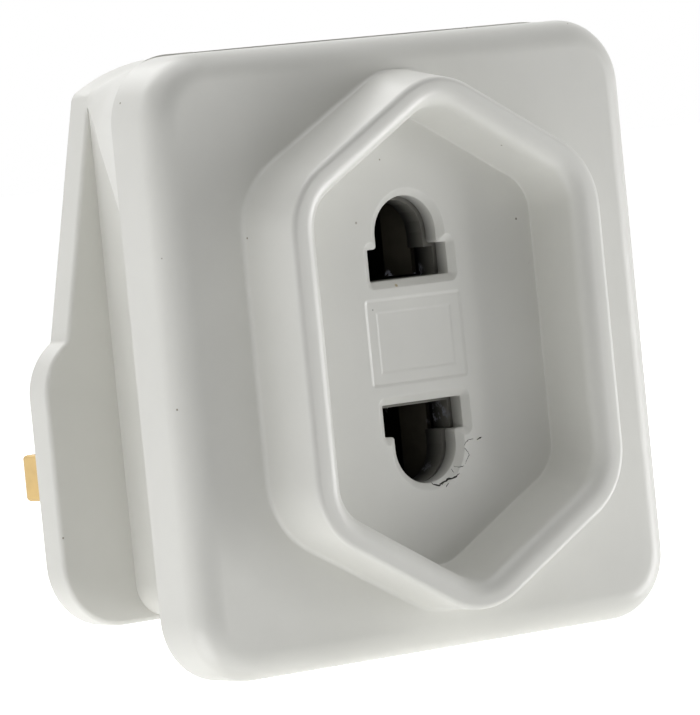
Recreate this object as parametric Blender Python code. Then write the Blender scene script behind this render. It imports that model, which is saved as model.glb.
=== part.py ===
"""Fused shaver adaptor: two-pin shaver plugs in the front, a three-pin wall plug at the back.

Frame: X to the right seen from the front, Y from the front to the wall, Z up. The origin is on the
engagement face, midway between the live and neutral pins. Everything is in metres.
"""

import math

import bmesh
import bpy
from mathutils import Matrix, Vector

MM = 0.001
GAP = 0.3 * MM
OVERLAP = 1.0 * MM

# Wall pins: live and neutral blades in sleeves, and a plastic earth pin moulded with the shell.
PIN_SPACING = 22.23 * MM
PIN_HALF_SPACING = PIN_SPACING / 2
PIN_WIDTH = 6.35 * MM
PIN_HALF_WIDTH = PIN_WIDTH / 2
PIN_TO_EDGE = 9.71 * MM
EAR_HALF_WIDTH = PIN_HALF_SPACING + PIN_HALF_WIDTH + PIN_TO_EDGE
PIN_HALF_THICKNESS = 2.0 * MM
PIN_LENGTH = 17.7 * MM
PIN_CORE_WIDTH = 4.75 * MM
PIN_CORE_HALF_WIDTH = PIN_CORE_WIDTH / 2
PIN_CORE_HALF_THICKNESS = 1.2 * MM
PIN_SLEEVE_LENGTH = 9.5 * MM
PIN_TIP = 1.1 * MM
PIN_SHOULDER_HALF_WIDTH = 3.8 * MM
PIN_SHOULDER_HALF_HEIGHT = 3.3 * MM
PIN_SHOULDER_THICKNESS = 1.2 * MM
STUD_RADIUS = 1.05 * MM
STUD_HEAD_RADIUS = 1.9 * MM
STUD_HEAD_THICKNESS = 0.35 * MM
EARTH_Z = 22.23 * MM
EARTH_HALF_WIDTH = 2.0 * MM
EARTH_HALF_HEIGHT = 3.95 * MM
EARTH_LENGTH = 22.7 * MM
EARTH_TIP = 1.4 * MM

# The shaver side: its centre height and the depths of its faces, measured from the wall.
SLOT_CENTRE_Z = 9.4 * MM
COVER_FACE_Y = -22.0 * MM
COVER_BACK_Y = -16.0 * MM
FLOOR_Y = -21.67 * MM
FLOOR_THICKNESS = 1.77 * MM
FLOOR_BACK_Y = FLOOR_Y + FLOOR_THICKNESS

# Front cover: a rounded square tray with a soft front edge.
COVER_OVERHANG = 0.1 * MM
COVER_HALF_WIDTH = EAR_HALF_WIDTH + COVER_OVERHANG
COVER_TOP = 24.95 * MM
COVER_BOTTOM = -25.3 * MM
COVER_CORNER = 5.5 * MM
COVER_FRONT_ROUND = 2.1 * MM
COVER_WALL = 2.0 * MM
ROUND_STEPS = 5

# Collar: a long hexagon with a point up and a point down, as half width, shoulder and tip.
COLLAR_FOOT_HALF_WIDTH = 16.75 * MM
COLLAR_FOOT_SHOULDER = 13.8 * MM
COLLAR_FOOT_TIP = 23.4 * MM
COLLAR_FOOT = (COLLAR_FOOT_HALF_WIDTH, COLLAR_FOOT_SHOULDER, COLLAR_FOOT_TIP)
COLLAR_RIM_HALF_WIDTH = 15.55 * MM
COLLAR_RIM_SHOULDER = 13.2 * MM
COLLAR_RIM_TIP = 22.6 * MM
COLLAR_RIM = (COLLAR_RIM_HALF_WIDTH, COLLAR_RIM_SHOULDER, COLLAR_RIM_TIP)
COLLAR_CORNER = 6.5 * MM
COLLAR_HEIGHT = 5.5 * MM
COLLAR_FOOT_ROUND = 0.9 * MM
COLLAR_RIM_ROUND = 0.9 * MM
RECESS_RIM_HALF_WIDTH = 13.2 * MM
RECESS_RIM_SHOULDER = 12.0 * MM
RECESS_RIM_TIP = 20.2 * MM
RECESS_RIM = (RECESS_RIM_HALF_WIDTH, RECESS_RIM_SHOULDER, RECESS_RIM_TIP)
RECESS_FLOOR_HALF_WIDTH = 12.65 * MM
RECESS_FLOOR_SHOULDER = 11.5 * MM
RECESS_FLOOR_TIP = 18.9 * MM
RECESS_FLOOR = (RECESS_FLOOR_HALF_WIDTH, RECESS_FLOOR_SHOULDER, RECESS_FLOOR_TIP)
RECESS_CORNER = 3.6 * MM
RECESS_RIM_ROUND = 0.5 * MM
RECESS_FLOOR_ROUND = 0.4 * MM
CORNER_STEPS = 5

# Keyhole slots: a wide mouth for flat blades below an arch for round pins.
SLOT_HALF_WIDTH = 3.99 * MM
SLOT_NEAR = 5.02 * MM
SLOT_STEP = 7.64 * MM
SLOT_ARCH_RADIUS = 3.08 * MM
SLOT_FAR = 11.8 * MM
SLOT_LEAD_IN = 0.63 * MM
SLOT_LEAD_IN_DEPTH = 0.43 * MM
ARCH_STEPS = 10

# Framed panel between the slots, left bare.
PANEL_HALF_WIDTH = 4.75 * MM
PANEL_HALF_HEIGHT = 3.4 * MM
PANEL_CORNER = 0.5 * MM
PANEL_RAISE = 0.22 * MM
PANEL_FRAME = 0.65 * MM
PANEL_FIELD_RAISE = 0.1 * MM

# Rear shell: base flange on the wall, waist behind the cover and a top block that slopes away.
SHELL_FRONT_Y = COVER_BACK_Y + GAP
FLANGE_FRONT_Y = -2.6 * MM
SHELL_FLOOR_Y = -2.0 * MM
CLOSER_FRONT_Y = -17.8 * MM
CLOSER_LAP = 0.2 * MM
CLOSER_BACK_Y = SHELL_FRONT_Y + CLOSER_LAP
TOP_STEP = 0.15 * MM
SHELL_TOP = COVER_TOP + TOP_STEP
SHELL_BOTTOM = -21.0 * MM
CAVITY_WALL = 1.8 * MM
WAIST_CLEARANCE = 0.385 * MM
WAIST_HALF_WIDTH = PIN_HALF_SPACING + PIN_SHOULDER_HALF_WIDTH + WAIST_CLEARANCE + CAVITY_WALL
WAIST_BOTTOM = -20.6 * MM
WAIST_CORNER = 3.0 * MM
TOP_INSET = 0.2 * MM
TOP_HALF_WIDTH_FRONT = COVER_HALF_WIDTH - TOP_INSET
TOP_HALF_WIDTH_BACK = WAIST_HALF_WIDTH + TOP_INSET / 2
TOP_CORNER = COVER_CORNER - TOP_INSET * 2.5
GRIP_TOP_FRONT = 13.0 * MM
GRIP_TOP_BACK = 21.5 * MM
FLANGE_TOP_HALF_WIDTH = 16.55 * MM
FLANGE_TAPER_HALF_WIDTH = 21.2 * MM
FLANGE_TAPER_Z = 2.9 * MM
EAR_TOP = 0.1 * MM
FLANGE_TOP_CORNER = 4.5 * MM
EAR_CORNER = 1.6 * MM
EAR_BOTTOM_CORNER = 5.5 * MM
NOTCH_CORNER = 1.2 * MM

# Fuse and its carrier, which lies across between the two shaver pins.
FUSE_Y = -5.2 * MM
TUBE_RADIUS = 2.3 * MM
TUBE_HALF_LENGTH = 7.5 * MM
CAP_RADIUS = 2.6 * MM
CAP_INNER_RADIUS = 2.45 * MM
CAP_START = 4.9 * MM
CAP_END = 8.1 * MM
CARRIER_HALF_WIDTH = 10.4 * MM
CARRIER_HALF_HEIGHT = 3.3 * MM
CARRIER_FACE_Y = -0.25 * MM
CARRIER_PLATE = 1.9 * MM
CRADLE_HALF_LENGTH = 4.5 * MM
CRADLE_DEPTH = 2.6 * MM
PRY_NOTCH = 1.3 * MM
WELL_WALL = 1.0 * MM
WELL_BACK_Y = -7.7 * MM

# Stamped strips behind the contact carrier.
STRIP = 0.4 * MM
STRIP_FRONT_Y = -8.4 * MM
TAIL_FRONT_Y = -7.7 * MM
CLIP_INSIDE = 2.8 * MM
CLIP_NEAR = 5.4 * MM
CLIP_FAR = 7.8 * MM
CLIP_ARM_Y = -3.5 * MM
STRAP_HALF_WIDTH = 1.4 * MM
LOAD_STRAP_OUTER = -9.2 * MM
LOAD_STRAP_INNER = -7.0 * MM
TAIL_NEAR = 13.2 * MM
TAIL_FAR = 15.9 * MM
TAIL_HALF_WIDTH = 1.9 * MM
RIVET_RADIUS = 0.6 * MM
RIVET_HEAD_RADIUS = 1.0 * MM
RIVET_HEAD = 0.3 * MM
RIVET_Z = 14.9 * MM

# Sprung contacts and the dark moulding that holds them.
HOLDER_HALF_WIDTH = 8.6 * MM
HOLDER_HALF_HEIGHT = 13.7 * MM
HOLDER_FRONT_Y = FLOOR_BACK_Y + GAP
HOLDER_BACK_Y = -8.7 * MM
HOLDER_FACE = 2.1 * MM
POCKET_HALF_WIDTH = 4.7 * MM
POCKET_NEAR = 4.4 * MM
POCKET_FAR = 13.0 * MM
HOLDER_SLOT_SHRINK = -0.15 * MM
LEAF_INSIDE = 1.95 * MM
LEAF_MOUTH = 3.4 * MM
LEAF_NEAR = 5.3 * MM
LEAF_WEB = 12.3 * MM
LEAF_FRONT_Y = -17.2 * MM
LEAF_BEND_Y = -15.4 * MM
LEAF_BACK_Y = -9.6 * MM

# Case screws, their posts on the cover and bosses in the shell.
SCREW_X = 12.3 * MM
SCREW_Z = 15.2 * MM
POST_RADIUS = 2.5 * MM
POST_BACK_Y = -4.9 * MM
BOSS_RADIUS = 2.9 * MM
BOSS_FRONT_Y = -4.6 * MM
BORE_RADIUS = 1.3 * MM
BORE_DEPTH_Y = -14.2 * MM
COUNTERBORE_RADIUS = 2.4 * MM
COUNTERBORE_Y = -1.4 * MM
SCREW_RADIUS = 1.1 * MM
SCREW_HEAD_RADIUS = 2.1 * MM
SCREW_HEAD_FRONT_Y = -1.15 * MM
SCREW_HEAD_BACK_Y = -0.3 * MM
SCREW_TIP_Y = -13.2 * MM
DRIVE_HALF_WIDTH = 0.28 * MM
DRIVE_REACH = 1.3 * MM
DRIVE_DEPTH = 0.5 * MM
TONGUE_HALF_WIDTH = 5.0 * MM
TONGUE_THICKNESS = 1.2 * MM
TONGUE_BACK_Y = -11.5 * MM
ROUND_SIDES = 32
FINE_SIDES = 24

PLASTIC = (0.72, 0.72, 0.69, 1.0)
DARK = (0.02, 0.02, 0.022, 1.0)
BRASS = (0.72, 0.53, 0.25, 1.0)
STEEL = (0.62, 0.63, 0.65, 1.0)
CERAMIC = (0.86, 0.84, 0.78, 1.0)
SLEEVE = (0.05, 0.05, 0.055, 1.0)


def clear_scene():
    """Remove every object of the open scene."""
    for item in list(bpy.data.objects):
        bpy.data.objects.remove(item, do_unlink=True)


def new_collection(name):
    """Return a new collection linked to the scene."""
    collection = bpy.data.collections.new(name)
    bpy.context.scene.collection.children.link(collection)
    return collection


def new_material(name, colour, roughness, metallic):
    """Return a principled material."""
    material = bpy.data.materials.new(name)
    material.use_nodes = True
    shader = material.node_tree.nodes["Principled BSDF"]
    shader.inputs["Base Color"].default_value = colour
    shader.inputs["Roughness"].default_value = roughness
    shader.inputs["Metallic"].default_value = metallic
    return material


def add_object(name, mesh, collection):
    """Link a mesh as a named object."""
    item = bpy.data.objects.new(name, mesh)
    collection.objects.link(item)
    return item


def mesh_from(shape, name):
    """Turn a bmesh into a mesh with its faces pointing out."""
    bmesh.ops.recalc_face_normals(shape, faces=shape.faces)
    mesh = bpy.data.meshes.new(name)
    shape.to_mesh(mesh)
    shape.free()
    return mesh


def arc_corner(before, corner, after, radius, steps):
    """Points of the arc that rounds one corner of an outline."""
    if radius <= 0:
        return [tuple(corner)]
    point = Vector(corner)
    to_before = (Vector(before) - point).normalized()
    to_after = (Vector(after) - point).normalized()
    half = to_before.angle(to_after) / 2
    reach = radius / math.tan(half)
    centre = point + (to_before + to_after).normalized() * radius / math.sin(half)
    start = point + to_before * reach - centre
    turn = start.angle_signed(point + to_after * reach - centre)
    points = []
    for step in range(steps + 1):
        angle = -turn * step / steps
        spun = Matrix.Rotation(angle, 2) @ start
        points.append(tuple(centre + spun))
    return points


def rounded(corners, radii, steps=CORNER_STEPS):
    """An outline with each corner rounded by its own radius."""
    points = []
    count = len(corners)
    for index, corner in enumerate(corners):
        before = corners[index - 1]
        after = corners[(index + 1) % count]
        points += arc_corner(before, corner, after, radii[index], steps)
    return points


def rectangle(half_width, bottom, top, radius, steps=CORNER_STEPS):
    """A rectangle about the slots' centre height, with equal corners."""
    low = SLOT_CENTRE_Z + bottom
    high = SLOT_CENTRE_Z + top
    corners = [(-half_width, low), (half_width, low), (half_width, high), (-half_width, high)]
    return rounded(corners, [radius] * len(corners), steps)


def hexagon(size, radius, grow=0.0):
    """The collar's outline: half width, shoulder and tip, grown evenly outwards."""
    width, shoulder, tip = size
    slope = (tip - shoulder) / width
    lean = math.hypot(1, slope)
    wide = width + grow
    high = tip + grow * lean
    side = high - slope * wide
    corners = [(0, -high), (wide, -side), (wide, side), (0, high), (-wide, side), (-wide, -side)]
    placed = [(x, z + SLOT_CENTRE_Z) for x, z in corners]
    return rounded(placed, [radius + grow] * len(placed))


def keyhole(side, grow):
    """One slot's outline: side is 1 for the upper slot and -1 for the lower one."""
    wide = SLOT_HALF_WIDTH + grow
    near = SLOT_NEAR - grow
    step = SLOT_STEP + grow
    radius = SLOT_ARCH_RADIUS + grow
    centre = SLOT_FAR - SLOT_ARCH_RADIUS
    points = [(-wide, near), (wide, near), (wide, step), (radius, step)]
    for index in range(ARCH_STEPS + 1):
        angle = math.pi * index / ARCH_STEPS
        points.append((radius * math.cos(angle), centre + radius * math.sin(angle)))
    points += [(-radius, step), (-wide, step)]
    return [(x, SLOT_CENTRE_Z + side * z) for x, z in points]


def loft(name, sections, collection):
    """A closed solid through sections of equal point count, each an outline in X and Z and its Y."""
    shape = bmesh.new()
    rings = []
    for outline, depth in sections:
        rings.append([shape.verts.new((x, depth, z)) for x, z in outline])
    for first, second in zip(rings, rings[1:]):
        count = len(first)
        for index in range(count):
            after = (index + 1) % count
            shape.faces.new((first[index], first[after], second[after], second[index]))
    shape.faces.new(rings[0])
    shape.faces.new(rings[-1])
    return add_object(name, mesh_from(shape, name), collection)


def plate(name, outline, front, back, collection):
    """A flat outline in X and Z, thickened along Y from front to back."""
    curve = bpy.data.curves.new(name, "CURVE")
    curve.dimensions = "2D"
    curve.fill_mode = "BOTH"
    curve.extrude = (back - front) / 2
    spline = curve.splines.new("POLY")
    spline.points.add(len(outline) - 1)
    for point, (x, z) in zip(spline.points, outline):
        point.co = (x, z, 0, 1)
    spline.use_cyclic_u = True
    flat = bpy.data.objects.new(name + "_outline", curve)
    collection.objects.link(flat)
    flat.matrix_world = Matrix.Translation((0, (front + back) / 2, 0)) @ Matrix.Rotation(math.pi / 2, 4, "X")
    bpy.context.view_layer.update()
    graph = bpy.context.evaluated_depsgraph_get()
    mesh = bpy.data.meshes.new_from_object(flat.evaluated_get(graph))
    mesh.transform(flat.matrix_world)
    bpy.data.objects.remove(flat, do_unlink=True)
    shape = bmesh.new()
    shape.from_mesh(mesh)
    bpy.data.meshes.remove(mesh)
    bmesh.ops.remove_doubles(shape, verts=shape.verts, dist=GAP / 1000)
    return add_object(name, mesh_from(shape, name), collection)


def block(name, low, high, collection):
    """A box between two corners."""
    shape = bmesh.new()
    bmesh.ops.create_cube(shape, size=1)
    size = Vector(high) - Vector(low)
    middle = (Vector(high) + Vector(low)) / 2
    place = Matrix.Translation(middle) @ Matrix.Diagonal((size.x, size.y, size.z, 1))
    bmesh.ops.transform(shape, matrix=place, verts=shape.verts)
    return add_object(name, mesh_from(shape, name), collection)


def rod(name, axis, centre, start, end, radius, collection, sides=ROUND_SIDES):
    """A cylinder along X or Y from start to end, about the other two centre values."""
    shape = bmesh.new()
    bmesh.ops.create_cone(
        shape, cap_ends=True, segments=sides, radius1=radius, radius2=radius, depth=end - start
    )
    middle = (start + end) / 2
    if axis == "X":
        place = Matrix.Translation((middle, centre[0], centre[1])) @ Matrix.Rotation(math.pi / 2, 4, "Y")
    else:
        place = Matrix.Translation((centre[0], middle, centre[1])) @ Matrix.Rotation(math.pi / 2, 4, "X")
    bmesh.ops.transform(shape, matrix=place, verts=shape.verts)
    return add_object(name, mesh_from(shape, name), collection)


def combine(target, other, operation):
    """Put a live Boolean on the target, with the other object kept as a hidden guide."""
    modifier = target.modifiers.new(other.name, "BOOLEAN")
    modifier.operation = operation
    modifier.solver = "EXACT"
    modifier.object = other
    other.hide_render = True
    other.display_type = "WIRE"


def cut(target, other):
    """Take the other object out of the target."""
    combine(target, other, "DIFFERENCE")


def join(target, other):
    """Fuse the other object with the target."""
    combine(target, other, "UNION")


def finish(item, material):
    """Give a piece its material and smooth shading with sharp edges kept."""
    item.data.materials.append(material)
    item.data.shade_smooth()
    item.data.set_sharp_from_angle(angle=math.radians(35))
    return item


def cover_sections():
    """Sections of the cover's outside, from its soft front edge to its back."""
    sections = []
    for step in range(ROUND_STEPS + 1):
        angle = math.pi / 2 * step / ROUND_STEPS
        inset = COVER_FRONT_ROUND * (1 - math.sin(angle))
        depth = COVER_FACE_Y + COVER_FRONT_ROUND * (1 - math.cos(angle))
        wide = COVER_HALF_WIDTH - inset
        outline = rectangle(wide, COVER_BOTTOM + inset, COVER_TOP - inset, COVER_CORNER - inset)
        sections.append((outline, depth))
    outline = rectangle(COVER_HALF_WIDTH, COVER_BOTTOM, COVER_TOP, COVER_CORNER)
    sections.append((outline, COVER_BACK_Y))
    return sections


def blend(first, second, share):
    """A size between two sizes."""
    return tuple(a + (b - a) * share for a, b in zip(first, second))


def collar_sections():
    """Sections of the collar's outside: root, foot round, drafted wall and rounded rim."""
    sections = [(hexagon(COLLAR_FOOT, COLLAR_CORNER, COLLAR_FOOT_ROUND), COVER_FACE_Y + OVERLAP)]
    for step in range(ROUND_STEPS):
        angle = math.pi / 2 * step / ROUND_STEPS
        grow = COLLAR_FOOT_ROUND * (1 - math.sin(angle))
        depth = COLLAR_FOOT_ROUND * (1 - math.cos(angle))
        size = blend(COLLAR_FOOT, COLLAR_RIM, depth / COLLAR_HEIGHT)
        sections.append((hexagon(size, COLLAR_CORNER, grow), COVER_FACE_Y - depth))
    for step in range(ROUND_STEPS + 1):
        angle = math.pi / 2 * step / ROUND_STEPS
        grow = -COLLAR_RIM_ROUND * (1 - math.cos(angle))
        depth = COLLAR_HEIGHT - COLLAR_RIM_ROUND * (1 - math.sin(angle))
        size = blend(COLLAR_FOOT, COLLAR_RIM, depth / COLLAR_HEIGHT)
        sections.append((hexagon(size, COLLAR_CORNER, grow), COVER_FACE_Y - depth))
    return sections


def recess_sections():
    """Sections of the hollow in the collar: past the rim, rim round, drafted wall and floor round."""
    rim_y = COVER_FACE_Y - COLLAR_HEIGHT
    depth = FLOOR_Y - rim_y
    sections = [(hexagon(RECESS_RIM, RECESS_CORNER, RECESS_RIM_ROUND), rim_y - OVERLAP)]
    for step in range(ROUND_STEPS + 1):
        angle = math.pi / 2 * step / ROUND_STEPS
        grow = RECESS_RIM_ROUND * (1 - math.sin(angle))
        reach = RECESS_RIM_ROUND * (1 - math.cos(angle))
        size = blend(RECESS_RIM, RECESS_FLOOR, reach / depth)
        sections.append((hexagon(size, RECESS_CORNER, grow), rim_y + reach))
    for step in range(ROUND_STEPS + 1):
        angle = math.pi / 2 * step / ROUND_STEPS
        grow = -RECESS_FLOOR_ROUND * (1 - math.cos(angle))
        reach = depth - RECESS_FLOOR_ROUND * (1 - math.sin(angle))
        size = blend(RECESS_RIM, RECESS_FLOOR, reach / depth)
        sections.append((hexagon(size, RECESS_CORNER, grow), rim_y + reach))
    return sections


def slot_sections(side):
    """Sections of one slot through the floor, with its lead-in."""
    wide = keyhole(side, SLOT_LEAD_IN)
    return [
        (wide, FLOOR_Y - OVERLAP),
        (wide, FLOOR_Y),
        (keyhole(side, 0.0), FLOOR_Y + SLOT_LEAD_IN_DEPTH),
        (keyhole(side, 0.0), FLOOR_BACK_Y + OVERLAP),
    ]


def make_front_cover(parts, guides, material):
    """Cover, collar, slotted floor, panel frame, screw posts and tongue, moulded as one."""
    cover = loft("front_cover", cover_sections(), parts)
    wide = COVER_HALF_WIDTH - COVER_WALL
    low = COVER_BOTTOM + COVER_WALL
    inside = rectangle(wide, low, COVER_TOP - COVER_WALL, COVER_CORNER - COVER_WALL)
    cut(cover, plate("cover_hollow", inside, FLOOR_BACK_Y, COVER_BACK_Y + OVERLAP, guides))
    join(cover, loft("collar", collar_sections(), guides))
    cut(cover, loft("recess", recess_sections(), guides))
    panel = rectangle(PANEL_HALF_WIDTH, -PANEL_HALF_HEIGHT, PANEL_HALF_HEIGHT, PANEL_CORNER)
    join(cover, plate("panel", panel, FLOOR_Y - PANEL_RAISE, FLOOR_Y + OVERLAP, guides))
    field_width = PANEL_HALF_WIDTH - PANEL_FRAME
    field_height = PANEL_HALF_HEIGHT - PANEL_FRAME
    field = rectangle(field_width, -field_height, field_height, PANEL_CORNER / 2)
    field_y = FLOOR_Y - PANEL_FIELD_RAISE
    cut(cover, plate("panel_field", field, FLOOR_Y - OVERLAP, field_y, guides))
    for side, place in ((1, "upper"), (-1, "lower")):
        cut(cover, loft(place + "_slot", slot_sections(side), guides))
    for side, place in ((-1, "left"), (1, "right")):
        centre = (side * SCREW_X, SLOT_CENTRE_Z + SCREW_Z)
        start = FLOOR_BACK_Y - OVERLAP / 2
        post = rod(place + "_post", "Y", centre, start, POST_BACK_Y, POST_RADIUS, guides)
        join(cover, post)
        end = POST_BACK_Y + OVERLAP
        bore = rod(place + "_post_bore", "Y", centre, BORE_DEPTH_Y, end, BORE_RADIUS, guides)
        cut(cover, bore)
    tongue_z = SLOT_CENTRE_Z + WAIST_BOTTOM + CAVITY_WALL + GAP
    low = (-TONGUE_HALF_WIDTH, FLOOR_BACK_Y - OVERLAP / 2, tongue_z)
    high_corner = (TONGUE_HALF_WIDTH, TONGUE_BACK_Y, tongue_z + TONGUE_THICKNESS)
    join(cover, block("tongue", low, high_corner, guides))
    return finish(cover, material)


def flange_outline():
    """The base flange: narrow at the top, flaring to the ears beside the live and neutral pins."""
    right = [
        (EAR_HALF_WIDTH, SHELL_BOTTOM, EAR_BOTTOM_CORNER),
        (EAR_HALF_WIDTH, EAR_TOP, EAR_CORNER),
        (FLANGE_TAPER_HALF_WIDTH, FLANGE_TAPER_Z, NOTCH_CORNER),
        (FLANGE_TOP_HALF_WIDTH, SHELL_TOP, FLANGE_TOP_CORNER),
    ]
    left = [(-x, z, radius) for x, z, radius in reversed(right)]
    corners = [(x, z + SLOT_CENTRE_Z) for x, z, radius in right + left]
    return rounded(corners, [radius for x, z, radius in right + left])


def top_block_sections():
    """The block behind the cover's top, which narrows from the cover to the flange."""
    front = rectangle(TOP_HALF_WIDTH_FRONT, 0.0, SHELL_TOP, TOP_CORNER)
    back = rectangle(TOP_HALF_WIDTH_BACK, 0.0, SHELL_TOP, TOP_CORNER)
    return [(front, SHELL_FRONT_Y), (back, FLANGE_FRONT_Y + OVERLAP)]


def make_grip_cutter(guides):
    """A wedge along X whose top slopes down to the front: the finger grips' upper limit."""
    rise = (GRIP_TOP_BACK - GRIP_TOP_FRONT) / (FLANGE_FRONT_Y - SHELL_FRONT_Y)
    front_y = SHELL_FRONT_Y - OVERLAP
    front_z = SLOT_CENTRE_Z + GRIP_TOP_FRONT - rise * OVERLAP
    back_y = FLANGE_FRONT_Y + OVERLAP * 2
    back_z = SLOT_CENTRE_Z + GRIP_TOP_BACK + rise * OVERLAP * 2
    bottom = SLOT_CENTRE_Z + SHELL_BOTTOM
    shape = bmesh.new()
    reach = COVER_HALF_WIDTH + OVERLAP
    profile = [(front_y, bottom), (back_y, bottom), (back_y, back_z), (front_y, front_z)]
    face = shape.faces.new([shape.verts.new((-reach, y, z)) for y, z in profile])
    grown = bmesh.ops.extrude_face_region(shape, geom=[face])
    moved = [item for item in grown["geom"] if isinstance(item, bmesh.types.BMVert)]
    bmesh.ops.translate(shape, verts=moved, vec=(2 * reach, 0, 0))
    return add_object("grip_wedge", mesh_from(shape, "grip_wedge"), guides)


def blade_section(half_width, half_height, x, z):
    """A blade's cross-section about a point."""
    return [
        (x - half_width, z - half_height),
        (x + half_width, z - half_height),
        (x + half_width, z + half_height),
        (x - half_width, z + half_height),
    ]


def make_rear_shell(parts, guides, material):
    """Base flange, waist, top block, closing plate, earth pin, fuse well and bosses, moulded as one."""
    shell = plate("rear_shell", flange_outline(), FLANGE_FRONT_Y, 0.0, parts)
    top_block = loft("top_block", top_block_sections(), guides)
    cut(top_block, make_grip_cutter(guides))
    waist = rectangle(WAIST_HALF_WIDTH, WAIST_BOTTOM, SHELL_TOP - TOP_CORNER, WAIST_CORNER)
    join(top_block, plate("waist", waist, CLOSER_FRONT_Y, FLANGE_FRONT_Y + OVERLAP, guides))
    inset = COVER_WALL + GAP
    closer_width = COVER_HALF_WIDTH - inset
    closer = rectangle(closer_width, COVER_BOTTOM + inset, COVER_TOP - inset, COVER_CORNER - inset)
    join(top_block, plate("closer", closer, CLOSER_FRONT_Y + GAP, CLOSER_BACK_Y, guides))
    join(shell, top_block)
    inner_width = WAIST_HALF_WIDTH - CAVITY_WALL
    cavity = rectangle(inner_width, WAIST_BOTTOM + CAVITY_WALL, SHELL_TOP - CAVITY_WALL, WAIST_CORNER)
    cut(shell, plate("shell_hollow", cavity, CLOSER_FRONT_Y - OVERLAP, SHELL_FLOOR_Y, guides))
    opening_width = CARRIER_HALF_WIDTH + GAP
    opening_height = CARRIER_HALF_HEIGHT + GAP
    well_width = opening_width + WELL_WALL
    well_height = opening_height + WELL_WALL
    low = (-well_width, WELL_BACK_Y, SLOT_CENTRE_Z - well_height)
    high = (well_width, SHELL_FLOOR_Y + OVERLAP / 2, SLOT_CENTRE_Z + well_height)
    join(shell, block("fuse_well", low, high, guides))
    for side, place in ((-1, "left"), (1, "right")):
        centre = (side * SCREW_X, SLOT_CENTRE_Z + SCREW_Z)
        root_y = SHELL_FLOOR_Y + OVERLAP / 2
        boss = rod(place + "_boss", "Y", centre, BOSS_FRONT_Y, root_y, BOSS_RADIUS, guides)
        join(shell, boss)
        bore = rod(place + "_boss_bore", "Y", centre, BOSS_FRONT_Y - OVERLAP, OVERLAP, BORE_RADIUS, guides)
        cut(shell, bore)
        sink = rod(place + "_counterbore", "Y", centre, COUNTERBORE_Y, OVERLAP, COUNTERBORE_RADIUS, guides)
        cut(shell, sink)
        hole_width = PIN_HALF_WIDTH + GAP
        hole_height = PIN_HALF_THICKNESS + GAP
        low = (side * PIN_HALF_SPACING - hole_width, SHELL_FLOOR_Y - OVERLAP, -hole_height)
        high = (side * PIN_HALF_SPACING + hole_width, OVERLAP, hole_height)
        cut(shell, block(place + "_pin_hole", low, high, guides))
    low = (-opening_width, WELL_BACK_Y - OVERLAP, SLOT_CENTRE_Z - opening_height)
    high = (opening_width, OVERLAP, SLOT_CENTRE_Z + opening_height)
    cut(shell, block("fuse_opening", low, high, guides))
    full = blade_section(EARTH_HALF_WIDTH, EARTH_HALF_HEIGHT, 0.0, EARTH_Z)
    tip = blade_section(EARTH_HALF_WIDTH - EARTH_TIP / 2, EARTH_HALF_HEIGHT - EARTH_TIP, 0.0, EARTH_Z)
    sections = [(full, -OVERLAP), (full, EARTH_LENGTH - EARTH_TIP), (tip, EARTH_LENGTH)]
    join(shell, loft("earth_pin", sections, guides))
    return finish(shell, material)


def make_pin(name, side, parts, guides, material):
    """A live or neutral pin: tip, sleeved core, inner shoulder and a riveted stud."""
    x = side * PIN_HALF_SPACING
    full = blade_section(PIN_HALF_WIDTH, PIN_HALF_THICKNESS, x, 0.0)
    tip = blade_section(PIN_HALF_WIDTH - PIN_TIP, PIN_HALF_THICKNESS - PIN_TIP, x, 0.0)
    core = blade_section(PIN_CORE_HALF_WIDTH, PIN_CORE_HALF_THICKNESS, x, 0.0)
    sections = [
        (core, WELL_BACK_Y),
        (core, PIN_SLEEVE_LENGTH),
        (full, PIN_SLEEVE_LENGTH),
        (full, PIN_LENGTH - PIN_TIP),
        (tip, PIN_LENGTH),
    ]
    pin = loft(name, sections, parts)
    shoulder_y = SHELL_FLOOR_Y - GAP
    low = (x - PIN_SHOULDER_HALF_WIDTH, shoulder_y - PIN_SHOULDER_THICKNESS, -PIN_SHOULDER_HALF_HEIGHT)
    high = (x + PIN_SHOULDER_HALF_WIDTH, shoulder_y, PIN_SHOULDER_HALF_HEIGHT)
    join(pin, block(name + "_shoulder", low, high, guides))
    head_y = STRIP_FRONT_Y - GAP
    stud = rod(name + "_stud", "Y", (x, 0.0), head_y - STUD_HEAD_THICKNESS / 2, WELL_BACK_Y + OVERLAP,
               STUD_RADIUS, guides, FINE_SIDES)
    join(pin, stud)
    head = rod(name + "_stud_head", "Y", (x, 0.0), head_y - STUD_HEAD_THICKNESS, head_y,
               STUD_HEAD_RADIUS, guides, FINE_SIDES)
    join(pin, head)
    return finish(pin, material)


def make_sleeve(name, side, parts, guides, material):
    """The insulating sleeve on a pin's root."""
    x = side * PIN_HALF_SPACING
    low = (x - PIN_HALF_WIDTH, SHELL_FLOOR_Y, -PIN_HALF_THICKNESS)
    high = (x + PIN_HALF_WIDTH, PIN_SLEEVE_LENGTH - GAP / 2, PIN_HALF_THICKNESS)
    sleeve = block(name, low, high, parts)
    width = PIN_CORE_HALF_WIDTH + GAP / 2
    height = PIN_CORE_HALF_THICKNESS + GAP / 2
    low = (x - width, SHELL_FLOOR_Y - OVERLAP, -height)
    high = (x + width, PIN_SLEEVE_LENGTH + OVERLAP, height)
    cut(sleeve, block(name + "_core", low, high, guides))
    return finish(sleeve, material)


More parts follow.
